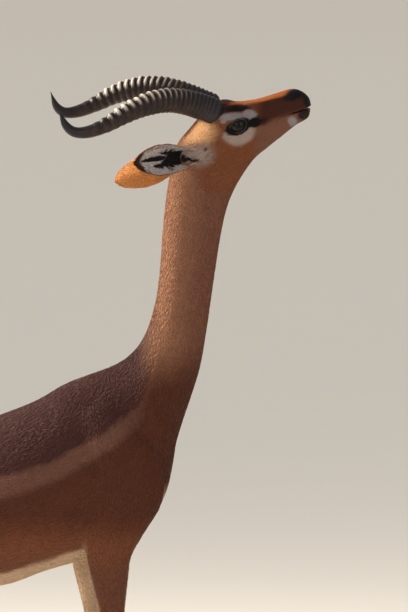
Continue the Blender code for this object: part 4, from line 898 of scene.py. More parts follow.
def makeLashes(side, material):
    # short dark lashes along the upper lid, and a few fine feelers on lips and chin
    sign = sideSigns[side]
    count = eyes["lashes"]
    line, away = lidLine(head["eyeRadius"] + eyes["lidOut"] + 0.8, 1.05, 200)
    tilt = math.radians(head["eyeTilt"])
    high = line[:, 2] * math.cos(tilt) - line[:, 0] * math.sin(tilt)
    upper = np.nonzero(high > 4.0)[0]
    pick = upper[np.linspace(4, len(upper) - 5, count).astype(int)]
    root, out = line[pick], away[pick]
    way = unit(out + np.column_stack([0.45 * root[:, 0] / 18, 0 * root[:, 0], np.full(count, 0.25)]))
    lengths = eyes["lashLength"] * (0.6 + 0.5 * draw.random(count))
    mirror = np.array((1, sign, 1))
    roots = [(root + np.array(head["eyePlace"])) * mirror]
    ways, sizes = [way * mirror], [lengths]
    spots = np.column_stack([196 + 38 * draw.random(eyes["whiskers"]), np.full(eyes["whiskers"], 19.0),
                             -16 + 34 * draw.random(eyes["whiskers"])])
    roots.append(spots * mirror)
    plain = 0 * spots[:, 0]
    ways.append(unit(np.column_stack([0.5 + plain, 1.0 + plain, (spots[:, 2] - 8) / 24])) * mirror)
    sizes.append(eyes["whiskerLength"] * (0.6 + 0.6 * draw.random(eyes["whiskers"])))
    roots, ways, sizes = np.concatenate(roots), np.concatenate(ways), np.concatenate(sizes) * 0.001
    start = fromHead(roots)
    way = unit(fromHead(roots + ways) - start)
    widths = np.concatenate([np.full(count, 0.00028), np.full(eyes["whiskers"], 0.00016)])
    item = hairMesh("lashes_" + side, start, way, np.tile([[0.0, 0.0, 1.0]], (len(start), 1)), sizes, widths,
                    np.tile([[0.0, 0.0, -0.12]], (len(start), 1)), 4)
    return finish(item, material, "coat_head")


# Ears: leaf-shaped cups with a patterned inner face, fringed by long pale hairs.

ears = {
    "right": {"root": (2, -38, -27), "tip": (-154, -96, 13), "opens": (0.30, -1.0, 0.10)},
    "left": {"root": (-18, 40, -34), "tip": (-196, 78, -55), "opens": (0.15, 1.0, -0.15)},
    "halfWidth": ((0.0, 15), (0.18, 17), (0.33, 26), (0.5, 33), (0.66, 33), (0.8, 26), (0.91, 17), (1.0, 3)),
    "cup": ((0.0, 2.6), (0.18, 2.1), (0.36, 1.35), (0.6, 0.85), (1.0, 0.5)),
    "wall": 2.2, "rimThinning": 0.6, "bend": 6.0, "grid": (96, 57),
    "innerHairs": 340, "rimHairs": 1500, "backTufts": 5200, "faceTufts": 2600,
}


def softInterp(places, table, blur=0.05):
    # straight lines between the table's points, rounded by a moving mean
    fine = np.linspace(-0.2, 1.2, 1401)
    values = np.interp(fine, *np.array(table, float).T)
    width = int(blur * 1000) | 1
    values = np.convolve(np.pad(values, width // 2, mode="edge"), np.ones(width) / width, "valid")
    return np.interp(places, fine, values)


def earSurface(side, share, lean, wall):
    # a sheet bent round the line from root to tip: an arc at each share of the length, turned by the lean
    ear = ears[side]
    root, tip = np.array(ear["root"], float), np.array(ear["tip"], float)
    alongWay = unit(tip - root)
    opens = np.array(ear["opens"], float)
    opens = unit(opens - alongWay * opens.dot(alongWay))
    acrossWay = np.cross(opens, alongWay)
    half = softInterp(share, ears["halfWidth"])
    cup = softInterp(share, ears["cup"])
    angle = lean * cup
    arc = half / np.sin(np.clip(cup, 0.3, 1.4))
    radius = arc + wall * (1 - ears["rimThinning"] * np.abs(lean) ** 3)
    deep = arc * np.cos(cup) - radius * np.cos(angle) - ears["bend"] * np.sin(math.pi * share)
    return (root + share[..., None] * (tip - root) + (radius * np.sin(angle))[..., None] * acrossWay
            + deep[..., None] * opens)


def makeEar(side, material):
    steps, across = ears["grid"]
    share, lean = np.meshgrid(np.linspace(0, 1, steps), np.linspace(-1, 1, across), indexing="ij")
    walls = [earSurface(side, share, lean, wall * ears["wall"]) for wall in (0.5, -0.5)]
    count = steps * across
    corner = (np.arange(steps - 1)[:, None] * across + np.arange(across - 1)[None, :]).ravel()
    face = np.column_stack([corner, corner + 1, corner + across + 1, corner + across])
    rim = np.concatenate([np.arange(steps) * across, (steps - 1) * across + np.arange(1, across),
                          np.arange(steps - 2, -1, -1) * across + across - 1, np.arange(across - 2, 0, -1)])
    ahead = np.roll(rim, -1)
    strip = np.column_stack([rim, ahead, ahead + count, rim + count])
    points = np.concatenate([fromHead(wall.reshape(-1, 3)) for wall in walls])
    item = outward(linkMesh("ear_form_" + side, meshFrom("ear", points, np.concatenate(
        [face, face[:, ::-1] + count, strip]))))
    place = np.column_stack([np.tile(share.ravel(), 2), np.tile(lean.ravel(), 2),
                             np.repeat([0.0, 1.0], count)])
    addAttribute(item.data, "earPlace", place)
    return finish(item, material, "ear", "ear_" + side)


def earTufts(side, material):
    # slivers on the back and the inner face that lie towards the tip, and a fringe of hairs over the hollow
    parts = []
    plans = (("back", ears["backTufts"], 0.5, 7.0, 1.5), ("face", ears["faceTufts"], -0.5, 5.5, 1.3),
             ("rim", ears["rimHairs"], 0.0, 8.0, 1.0), ("comb", ears["innerHairs"], -0.5, 13.0, 1.1))
    for kind, count, wall, length, width in plans:
        share = 0.04 + 0.94 * draw.random(count)
        lean = draw.random(count) * 2 - 1
        if kind == "rim":
            lean = np.sign(lean) * (1 - 0.02 * draw.random(count))
        if kind == "comb":
            share = 0.18 + 0.64 * draw.random(count)
            lean = np.where(draw.random(count) < 0.6, -1, 1) * (0.66 + 0.30 * draw.random(count))
        share = np.where((np.abs(lean) > 0.9) & (share > 0.96), 0.95, share)
        here = earSurface(side, share, lean, wall * ears["wall"])
        onward = earSurface(side, share + 0.01, lean, wall * ears["wall"])
        beside = earSurface(side, share, lean + 0.02, wall * ears["wall"])
        along, across = unit(onward - here), unit(beside - here)
        normal = unit(np.cross(along, across)) * (1 if wall > 0 else -1)
        back = earSurface(side, share, lean, 2.0 * ears["wall"]) - here
        normal = unit(np.where(((normal * back).sum(1) > 0)[:, None], normal, -normal))
        normal = normal * (1 if wall >= 0 else -1)
        way = along + across * (0.25 * draw.standard_normal(count))[:, None]
        if kind == "rim":
            way = along + across * (np.sign(lean) * 0.35)[:, None]
            normal = across * np.sign(lean)[:, None]
        if kind == "comb":
            way = along * 0.75 - across * (np.sign(lean) * 0.75)[:, None]
        way = unit(way - normal * (way * normal).sum(1)[:, None])
        size = length * (0.7 + 0.6 * draw.random(count)) * np.where(share < 0.15, 0.7, 1.0)
        lift = {"back": 0.5, "face": 0.4, "rim": 1.2, "comb": 3.2}[kind] * (0.5 + draw.random(count))
        side3 = np.cross(normal, way)
        middle = here + way * (0.45 * size)[:, None] + normal * (0.55 * lift)[:, None]
        tip = here + way * size[:, None] + normal * lift[:, None]
        if kind == "comb":
            tip = tip + 0.12 * size[:, None] * unit(np.array(ears[side]["opens"], float))
        slivers = sliverPoints(here - normal * 0.3, middle, tip, side3, normal,
                               width * (0.7 + 0.6 * draw.random(count)), np.full(count, 0.3))
        code = {"back": 0.0, "face": 1.0, "rim": 2.0, "comb": 3.0}[kind]
        parts.append((slivers, np.column_stack([share, lean, np.full(count, code)])))
    slivers = fromHead(np.concatenate([part[0] for part in parts]))
    place = np.concatenate([part[1] for part in parts])
    count = len(slivers)
    hair = np.column_stack([draw.random(count), draw.random(count)])
    sheet = np.column_stack([0.25 + 0.2 * place[:, 1] + 0.5 * (place[:, 2] % 2), 0.05 + 0.9 * place[:, 0]])
    item = coatPiece("ear_hair_" + side, slivers, place, hair, sheet, material)
    settle(item, material, "ear")
    return item


# Horns: ringed, laid back and hooked up at the tips.

horn = {
    "line": (
        (58, 16, 44), (44, 25.5, 58), (19, 33, 77.5), (-12, 47, 99.5), (-46, 64, 117), (-84, 83, 126),
        (-122, 98, 126.5), (-156, 107.5, 122), (-190, 111.5, 114.5), (-230, 110, 110.5), (-259, 104, 117),
        (-274, 97, 137), (-278, 88.5, 173)),
    "rootShare": 0.048, "rootSize": (0.50, 0.74), "flatness": 0.72,
    # half of its depth at each tenth of the way to the tip
    "halfDepth": (28.3, 27.9, 26.4, 25.2, 23.8, 21.0, 18.2, 15.3, 12.6, 9.0, 0.7),
    "ringFirst": 8.6, "ringGrowth": 0.0341, "ringEnd": 318, "ringHeight": 3.4, "valleyDepth": 0.9,
    "ringedShare": 0.76, "backShare": 0.30, "crest": 0.55, "firstRise": 0.45, "riseGrowth": 0.9,
    "fadeRings": 4, "tipRadius": 0.7, "grid": (560, 60), "lineSteps": 400, "rowGrowth": 1.18,
    "rootMiddle": 0.6, "waveSharpness": 0.8, "ringedFade": 0.06, "grooves": 17, "grooveDepth": 0.16,
}


def makeHorn(side, material):
    # ovals along the curve, as deep as the table says; each ring is a skewed wave on a log scale of the
    # distance, highest on the front edge, and fine grooves run along them as a sine round the horn
    sign = sideSigns[side]
    line = readSmooth(np.array(horn["line"], float), horn["lineSteps"])
    length = np.concatenate([[0], np.cumsum(np.linalg.norm(np.diff(line, axis=0), axis=1))])
    start = horn["rootShare"] * length[-1]
    steps, sides = horn["grid"]
    part = np.linspace(0, 1, steps)
    places = length[-1] * (1 - (1 - part) ** horn["rowGrowth"])
    centres = np.column_stack([np.interp(places, length, line[:, axis]) for axis in range(3)])
    share = np.clip((places / length[-1] - horn["rootShare"]) / (1 - horn["rootShare"]), 0, 1)
    table = np.array(horn["halfDepth"])[:, None]
    depth = np.maximum(smoothRow(table, share * (len(table) - 1))[:, 0], horn["tipRadius"])
    depth = depth * np.interp(places, (0, horn["rootMiddle"] * start, start), (*horn["rootSize"], 1.0))
    width = depth * (horn["flatness"] + (1 - horn["flatness"]) * share)
    growth = horn["ringGrowth"]
    reach = np.maximum(places - start, 0)
    number = np.log(1 + growth * reach / horn["ringFirst"]) / growth
    total = int(math.log(1 + growth * horn["ringEnd"] / horn["ringFirst"]) / growth)
    phase = number % 1
    skewed = np.where(phase < horn["crest"], 0.5 * phase / horn["crest"],
                      0.5 + 0.5 * (phase - horn["crest"]) / (1 - horn["crest"]))
    wave = (0.5 - 0.5 * np.cos(2 * math.pi * skewed)) ** horn["waveSharpness"]
    grow = np.minimum(1.0, horn["firstRise"] + horn["riseGrowth"] * reach / horn["ringEnd"])
    fade = np.clip((total - np.floor(number)) / horn["fadeRings"], 0, 1)
    height = wave * grow * fade
    ringed = np.clip((horn["ringedShare"] - share) / horn["ringedFade"], 0, 1) * (places > start)
    turn = np.linspace(0, 2 * math.pi, sides, endpoint=False)
    facing = horn["backShare"] + (1 - horn["backShare"]) * (0.5 + 0.5 * np.cos(turn))
    ring = np.floor(number)[:, None]
    uneven = 1 + 0.16 * np.sin(2 * turn[None, :] + 1.9 * ring) + 0.10 * np.sin(5 * turn[None, :] + 2.7 * ring)
    ripple = (horn["ringHeight"] * height[:, None] * uneven
              - (horn["valleyDepth"] * (1 - height) * ringed)[:, None]) * facing[None, :]
    grooves = (horn["grooveDepth"] * np.sin(horn["grooves"] * turn[None, :] + 0.02 * places[:, None])
               * np.clip(1.2 - share, 0, 1)[:, None])
    ripple = ripple + grooves * np.minimum(1, depth / 8)[:, None]
    tangent = unit(np.gradient(centres, axis=0))
    front = unit(np.cross(np.array([0.0, 1.0, 0.0]), tangent))
    sideWay = np.cross(tangent, front)
    points = (centres[:, None, :] + ((depth[:, None] + ripple) * np.cos(turn))[..., None] * front[:, None, :]
              + ((width[:, None] + ripple) * np.sin(turn))[..., None] * sideWay[:, None, :])
    points, quads, ends = loftArrays(fromHead(points * (1, sign, 1)))
    item = outward(linkMesh("horn_form_" + side, meshFrom("horn", points, quads, ends)))
    place = np.stack(np.broadcast_arrays(share[:, None], height[:, None], facing[None, :]), axis=2)
    place = place.reshape(-1, 3)
    addAttribute(item.data, "hornPlace", place)
    return finish(item, material, "horn", "horn_" + side)


# Hooves: two claws to a foot with flat soles, and two dewclaws behind each fetlock.

hoof = {
    "length": 0.049, "halfWidth": 0.0082, "spread": 0.0092, "toeAngle": 52, "coronetHeight": 0.031,
    "coronetSlope": 17, "narrowing": 0.10, "shortening": 0.24, "lean": 0.62, "heel": 0.82, "toePoint": 0.35,
    "innerWidth": 0.72, "outerWidth": 1.12, "footToSole": 0.006, "gap": 0.0003, "soleEdge": 0.03,
    "grid": (34, 48), "growthRing": 0.00013, "growthRings": 46,
    "dewclaw": ((-0.006, 0.0060, 0.000, 0.0062), (-0.015, 0.0090, -0.004, 0.0064),
                (-0.020, 0.0105, -0.013, 0.0052), (-0.0205, 0.0110, -0.019, 0.0034),
                (-0.021, 0.0112, -0.021, 0.0012)),
}


def clawRings(kind, footSide, out):
    # a pointed oval sole whose walls narrow and lean back up to the sloping coronet, with fine growth rings
    foot = footPlace(kind, footSide)
    steps, sides = hoof["grid"]
    turn = np.linspace(0, 2 * math.pi, sides, endpoint=False)
    toe = np.cos(turn)
    outlineX = hoof["length"] / 2 * np.where(toe > 0, toe, hoof["heel"] * toe)
    outlineY = hoof["halfWidth"] * np.sqrt(np.maximum(1 - toe ** 2, 0)) * np.sign(np.sin(turn)) * np.where(
        toe > 0, 1 - hoof["toePoint"] * toe ** 2, 1.0)
    outlineY = outlineY * np.where(outlineY * footSide * out < 0, hoof["innerWidth"], hoof["outerWidth"])
    level = (np.linspace(0, 1, steps) ** 1.2)[:, None]
    sole = np.clip(1 - level / 0.05, 0, 1) ** 2
    fade = np.clip(level * 8, 0, 1) * np.clip((1 - level) * 12, 0, 1)
    ring = hoof["growthRing"] * np.sin(level * hoof["growthRings"]) * fade
    narrow = 1 - hoof["soleEdge"] * sole - hoof["narrowing"] * level + ring / hoof["halfWidth"]
    x = outlineX[None, :] * (1 - hoof["shortening"] * level + ring / hoof["length"])
    slope = math.tan(math.radians(hoof["coronetSlope"]))
    z = level * (hoof["coronetHeight"] - hoof["gap"] + slope * x)
    placeX = foot[0] + hoof["footToSole"] + x - hoof["lean"] / math.tan(math.radians(hoof["toeAngle"])) * z
    z[-1] = hoof["coronetHeight"] - hoof["gap"] + slope * (placeX[-1] - foot[0])
    placeY = foot[1] + footSide * out * hoof["spread"] + narrow * outlineY[None, :]
    return np.stack([placeX, placeY, z], axis=2)


def makeHooves(material):
    for kind in ("fore", "hind"):
        for side, sign in sideSigns.items():
            for claw, out in (("outer", 1), ("inner", -1)):
                points, quads, ends = loftArrays(clawRings(kind, sign, out))
                place = "%s_%s_%s" % (kind, side, claw)
                item = outward(linkMesh("claw_" + place, meshFrom("claw", points, quads, ends)))
                finish(item, material, "hoof", "hoof_" + place)
    forms = []
    for kind in ("fore", "hind"):
        for sign in (-1, 1):
            x, y, z = limbs[kind][-4][:3]
            middle = np.array([x + float(strideShift(kind, sign, z)), sign * y, z])
            for out in (-1, 1):
                rows = readSmooth(np.array(hoof["dewclaw"]), 22)
                centres = middle + rows[:, :3] * (1, out, 1)
                forms.append(loftArrays(pathRings(centres, rows[:, 3] * 0.85, rows[:, 3] * 0.85, 16)))
    item = outward(linkMesh("dewclaws", meshFrom("dewclaws", *joinArrays(forms))))
    finish(item, material, "hoof")


# The tail's tuft and the small brushes of longer hair under the knees.

longHair = {
    "locks": 520, "first": 0.36, "last": 0.97, "length": 0.074, "halfWidth": 0.00125, "halfThick": 0.0006,
    "steps": 6, "outward": 0.30, "return": 0.75, "hang": (0.02, 0.0, -1.0), "spread": 0.10,
    "turnEach": 2.39996, "kneeHairs": 170, "kneeLength": 0.013, "kneeWidth": 0.00055, "kneeBend": -0.18,
    "kneeFrom": 0.300, "kneeOver": 0.034, "kneeSpan": 2.2,
}


def makeTailTuft(material):
    # flat tapered locks that leave the core outwards and bend down to hang, thin and bent at their tips
    count, steps = longHair["locks"], longHair["steps"]
    rows = tailRows(60)
    place = longHair["first"] + (longHair["last"] - longHair["first"]) * np.linspace(0, 1, count) ** 0.9
    core = smoothRow(rows, place * (len(rows) - 1))
    angle = np.arange(count) * longHair["turnEach"] + 0.5 * draw.random(count)
    way = np.column_stack([np.cos(angle), np.sin(angle), 0 * angle])
    start = core[:, :3] + way * (core[:, 3] * 0.55)[:, None] + (0, 0, 0.004)
    down = unit(np.array(longHair["hang"]) + longHair["spread"] * way * (0.4 + draw.random(count))[:, None])
    length = longHair["length"] * (0.72 + 0.42 * draw.random(count)) * (1 - 0.15 * place)
    share = np.linspace(0, 1, steps)[None, :, None]
    flat = unit(np.cross(down, way))
    curl = 0.10 * np.sin(angle * 3)[:, None, None] * share ** 2 * flat[:, None, :]
    centre = start[:, None, :] + length[:, None, None] * (
        share * down[:, None, :] + longHair["outward"] * share * (1 - longHair["return"] * share)
        * way[:, None, :] * (0.5 + 0.7 * draw.random(count))[:, None, None] + curl)
    wide = longHair["halfWidth"] * np.interp(share, (0, 0.35, 0.8, 1), (0.75, 1.0, 0.6, 0.08))
    deep = longHair["halfThick"] * np.interp(share, (0, 0.5, 1), (1.0, 0.8, 0.2))
    rings = np.stack([centre + wide * flat[:, None, :], centre + deep * way[:, None, :],
                      centre - wide * flat[:, None, :], centre - deep * way[:, None, :]], axis=2)
    base = (np.arange(count) * steps * 4)[:, None, None]
    quads = (tubeFaces(steps, 4)[None] + base).reshape(-1, 4)
    end = (steps - 1) * 4
    ends = (np.array(((3, 2, 1, 0), (end, end + 1, end + 2, end + 3)))[None] + base).reshape(-1, 4)
    mesh = meshFrom("tail_hair", rings.reshape(-1, 3), np.concatenate([quads, ends]))
    strand = np.repeat(draw.random(count), steps * 4)
    along = np.tile(np.repeat(share[0, :, 0], 4), count)
    addAttribute(mesh, "hair", np.column_stack([strand, along, strand]))
    return finish(outward(linkMesh("tail_hair", mesh)), material, "tail_tuft", "tail")


def makeBrushes(material):
    # darker hairs just under each knee, on its front, that hang down along the leg
    starts, ways, fronts = [], [], []
    for sign in (-1, 1):
        count = longHair["kneeHairs"]
        height = longHair["kneeFrom"] + longHair["kneeOver"] * draw.random(count)
        rows = limbRows(limbs["fore"], "fore", sign, 200)
        order = np.argsort(rows[:, 2])
        middle = np.column_stack([np.interp(height, rows[order, 2], rows[order, axis]) for axis in range(5)])
        angle = (draw.random(count) - 0.5) * longHair["kneeSpan"]
        front = np.column_stack([np.cos(angle), np.sin(angle), 0 * angle])
        starts.append(middle[:, :3] + front * middle[:, [3, 4, 4]] * 0.93)
        ways.append(unit(front * 0.42 + np.array((0, 0, -1.0))))
        fronts.append(front)
    starts, ways, fronts = np.concatenate(starts), np.concatenate(ways), np.concatenate(fronts)
    count = len(starts)
    lengths = longHair["kneeLength"] * (0.6 + 0.6 * draw.random(count))
    item = hairMesh("knee_brushes", starts, ways, fronts, lengths, np.full(count, longHair["kneeWidth"]),
                    longHair["kneeBend"] * fronts)
    return finish(item, material, "coat_leg")


# Materials: shader sums as Python expressions.

class Wire:
    # one output of a shader node; sums on it add Math nodes, or Vector Math nodes on a direction
    def __init__(self, graph, socket):
        self.graph, self.socket = graph, socket

    def work(self, operation, *values):
        vector = any(isinstance(value, Wire) and value.socket.type == "VECTOR" for value in values)
        kind = "ShaderNodeVectorMath" if vector else "ShaderNodeMath"
        if vector:
            values = [(value,) * 3 if isinstance(value, (int, float)) else value for value in values]
        return self.graph.node(kind, {"operation": operation}, dict(enumerate(values)))

    def __add__(self, other): return self.work("ADD", self, other)
    def __sub__(self, other): return self.work("SUBTRACT", self, other)
    def __rsub__(self, other): return self.work("SUBTRACT", other, self)
    def __mul__(self, other): return self.work("MULTIPLY", self, other)
    def __truediv__(self, other): return self.work("DIVIDE", self, other)
    def __pow__(self, other): return self.work("POWER", self, other)
    def __abs__(self): return self.work("ABSOLUTE", self)

    def dot(self, way):
        settings = {"operation": "DOT_PRODUCT"}
        return self.graph.node("ShaderNodeVectorMath", settings, {0: self, 1: tuple(way)}, 1)

    def parts(self):
        return [self.graph.node("ShaderNodeSeparateXYZ", {}, {0: self}, axis) for axis in range(3)]

    def least(self, other): return self.work("MINIMUM", self, other)
    def most(self, other): return self.work("MAXIMUM", self, other)
    def sine(self): return self.work("SINE", self)

    def smooth(self, low, high):
        # 0 at low, 1 at high, with a soft start and end
        return self.graph.node("ShaderNodeMapRange", {"interpolation_type": "SMOOTHSTEP"},
                               {"Value": self, "From Min": low, "From Max": high})


class Graph:
    # the nodes of one material
    def __init__(self, name, roughness, **fixed):
        self.material = bpy.data.materials.new(name)
        self.material.use_nodes = True
        self.tree = self.material.node_tree
        self.shader = self.tree.nodes["Principled BSDF"]
        self.shader.inputs["Roughness"].default_value = roughness
        for socket, value in fixed.items():
            self.shader.inputs[socket.replace("_", " ")].default_value = value

    def node(self, kind, settings=None, sockets=None, output=0):
        # settings first, such as an operation or a ramp's stops, then the values or wires of its sockets
        made = self.tree.nodes.new(kind)
        for setting, value in (settings or {}).items():
            if setting == "stops":
                stops = made.color_ramp.elements
                while len(stops) < len(value):
                    stops.new(0.5)
                for stop, (position, colour) in zip(stops, value):
                    stop.position, stop.color = position, (*colour, 1.0)
            else:
                setattr(made, setting, value)
        for socket, value in (sockets or {}).items():
            if isinstance(value, Wire):
                self.tree.links.new(value.socket, made.inputs[socket])
            elif isinstance(value, tuple) and made.inputs[socket].type == "RGBA":
                made.inputs[socket].default_value = (*value, 1.0)
            else:
                made.inputs[socket].default_value = value
        return Wire(self, made.outputs[output])

    def feed(self, socket, wire):
        self.tree.links.new(wire.socket, self.shader.inputs[socket])

    def attribute(self, name):
        return self.node("ShaderNodeAttribute", {"attribute_name": name}, {}, "Vector")

    def objectPlace(self):
        # the place on the finished piece, as in the drawing
        return self.node("ShaderNodeTexCoord", {}, {}, "Object") - tuple(shift.tolist())

    def headParts(self, place):
        # the three parts of a place in the head's frame, in millimetres
        matrix = np.linalg.inv(headMatrix())
        return [place.dot(matrix[row, :3]) + float(matrix[row, 3]) for row in range(3)]

    def noise(self, place, scale, detail=2.0):
        return self.node("ShaderNodeTexNoise", {}, {"Vector": place, "Scale": scale, "Detail": detail})

    def spot(self, *values):
        # a place made of up to three wires or numbers, such as to stretch a noise one way
        return self.node("ShaderNodeCombineXYZ", {}, dict(enumerate(values)))

    def blend(self, mask, under, over):
        # colour over another by a mask
        return self.node("ShaderNodeMix", {"data_type": "RGBA"}, {0: mask, 6: under, 7: over}, 2)

    def scaled(self, colour, amount):
        # a colour made darker or lighter by an amount
        grey = self.node("ShaderNodeCombineColor", {}, {0: amount, 1: amount, 2: amount})
        settings = {"data_type": "RGBA", "blend_type": "MULTIPLY"}
        return self.node("ShaderNodeMix", settings, {0: 1.0, 6: colour, 7: grey}, 2)

    def curve(self, wire, rows):
        # straight lines through rows of in and out values
        (low, high), outs = (rows[0][0], rows[-1][0]), [row[1] for row in rows]
        least, span = min(outs), max(max(outs) - min(outs), 1e-6)
        stops = [((place - low) / (high - low), ((out - least) / span,) * 3) for place, out in rows]
        ramp = self.node("ShaderNodeValToRGB", {"stops": stops}, {0: (wire - low) / (high - low)})
        return self.node("ShaderNodeSeparateColor", {}, {0: ramp}) * span + least

    def bumpy(self, height, strength, distance=0.001):
        sockets = {"Strength": strength, "Distance": distance, "Height": height}
        self.feed("Normal", self.node("ShaderNodeBump", {}, sockets))


def oval(across, tall, centre, reach, tilt=0.0, soft=0.25, wobble=0.0):
    # 1 inside an oval about the centre and 0 outside, with a soft, uneven edge
    turn = math.radians(tilt)
    dx, dz = across - centre[0], tall - centre[1]
    u = (dx * math.cos(turn) + dz * math.sin(turn)) / reach[0]
    v = (dz * math.cos(turn) - dx * math.sin(turn)) / reach[1]
    return ((u * u + v * v) ** 0.5 + wobble).smooth(1 + soft, 1 - soft)


# the coat's colours, most of them its tones in shade: the flank is painted in shade, darker than its real
# light fawn
coatColours = {
    "back": (0.047, 0.0165, 0.0140), "band": (0.132, 0.060, 0.042), "flank": (0.064, 0.0190, 0.0098),
    "lowFlank": (0.155, 0.052, 0.020), "belly": (0.37, 0.255, 0.165), "neck": (0.138, 0.056, 0.036),
    # the back of the neck's tone holds a painted sunlit rim
    "sunlitNeckBack": (0.245, 0.115, 0.064), "throat": (0.150, 0.055, 0.027), "leg": (0.105, 0.038, 0.021),
    "innerLeg": (0.34, 0.23, 0.15), "shin": (0.130, 0.060, 0.036), "tailTop": (0.060, 0.022, 0.014),
    # the muzzle top's bright rusty tone holds a painted highlight
    "black": (0.0030, 0.0025, 0.0030), "cheek": (0.145, 0.049, 0.021), "litBridge": (0.30, 0.085, 0.022),
    "muzzle": (0.044, 0.0130, 0.0075), "jaw": (0.140, 0.061, 0.038), "brow": (0.008, 0.004, 0.004),
    "crown": (0.040, 0.0130, 0.0105), "white": (0.215, 0.188, 0.200), "under": (0.275, 0.210, 0.182),
    # the nape's pale tone is painted at its sunlit brightness
    "nape": (0.56, 0.32, 0.155), "lips": (0.010, 0.007, 0.007), "nose": (0.009, 0.007, 0.009),
    "chin": (0.215, 0.190, 0.205), "earRoot": (0.235, 0.165, 0.140),
}


def bodyPaint(graph, place):
    # the markings of trunk, neck and legs by their place in the drawing
    c = coatColours
    x, y, z = place.parts()
    far = abs(y)
    uneven = (graph.noise(place, 30, 3) - 0.5) * 0.022 + (graph.noise(place, 140, 2) - 0.5) * 0.010
    rough = graph.noise(place, 9, 3)
    # the flank's dark tone is painted shade over a lighter fawn coat
    colour = graph.blend(rough.smooth(0.3, 0.7), c["flank"], tuple(1.16 * part for part in c["flank"]))
    low = (z + uneven).smooth(0.70, 0.60) * x.smooth(-0.60, -0.45) * 0.8
    colour = graph.blend(low, colour, c["lowFlank"])
    # the dark saddle, the pale band under it, and the neck in front of them
    edge = graph.curve(x, ((-0.70, 0.775), (-0.60, 0.765), (-0.50, 0.742), (-0.40, 0.735), (-0.30, 0.750),
                           (-0.232, 0.7676), (-0.116, 0.7998), (-0.0774, 0.8256), (-0.0194, 0.8579),
                           (0.0387, 0.8966), (0.0774, 0.935), (0.105, 1.03), (0.14, 1.10)))
    below = z - edge + uneven
    front = x.smooth(0.125, 0.055)
    band = below.smooth(-0.052, -0.026) * (x.smooth(0.10, 0.02) * 0.75 + 0.1)
    colour = graph.blend(band, colour, c["band"])
    neck = (z - x * 0.10 + uneven).smooth(0.94, 1.06)
    # the back of the neck is painted lighter than the neck: its coat with a painted sunlit rim on it
    neckTone = graph.blend((x - (z - 1.0) * 0.10).smooth(0.19, 0.10), c["neck"], c["sunlitNeckBack"])
    throat = (x - (z - 1.0) * 0.155).smooth(0.170, 0.205)
    neckTone = graph.blend(throat * 0.6, neckTone, c["throat"])
    colour = graph.blend(neck, colour, neckTone)
    colour = graph.blend(below.smooth(-0.004, 0.012) * front, colour, c["back"])
    # legs, paler inside, and the white underparts
    onLeg = (z + uneven).smooth(0.66, 0.54)
    colour = graph.blend(onLeg, colour, c["leg"])
    colour = graph.blend((z + uneven).smooth(0.30, 0.10), colour, c["shin"])
    inner = (far + uneven * 0.5).smooth(0.084, 0.066) * z.smooth(0.13, 0.22) * z.smooth(0.70, 0.62)
    colour = graph.blend(inner * 0.9, colour, c["innerLeg"])
    under = graph.curve(x, ((-0.70, 0.60), (-0.60, 0.61), (-0.50, 0.608), (-0.44, 0.598), (-0.38, 0.580),
                            (-0.30, 0.562), (-0.232, 0.558), (-0.1398, 0.5827), (-0.0602, 0.6128),
                            (0.0, 0.618), (0.046, 0.630), (0.10, 0.655)))
    belly = (z - under + uneven * 0.6).smooth(0.006, -0.006) * far.smooth(0.100, 0.080)
    belly = belly * z.smooth(0.46, 0.52)
    chest = oval(x, z, (0.098, 0.676), (0.095, 0.026), 55, 0.18, uneven * 20) * far.smooth(0.060, 0.035)
    rump = x.smooth(-0.612, -0.634) * far.smooth(0.062, 0.044) * z.smooth(0.79, 0.77)
    colour = graph.blend(belly.most(chest).most(rump), colour, c["belly"])
    streak = oval(x, z, (-0.056, 0.52), (0.009, 0.10), -4, 0.4) * far.smooth(0.05, 0.07) * 0.55
    colour = graph.blend(streak, colour, c["belly"])
    # black pastern fronts and the tail
    foot = z.smooth(0.056, 0.036)
    colour = graph.blend(foot * 0.75, colour, c["lips"])
    onTail = x.smooth(-0.655, -0.668) * z.smooth(0.47, 0.53) * far.smooth(0.035, 0.025)
    tailTone = graph.blend((z + uneven).smooth(0.72, 0.64), c["tailTop"], c["black"])
    return graph.blend(onTail, colour, tailTone)


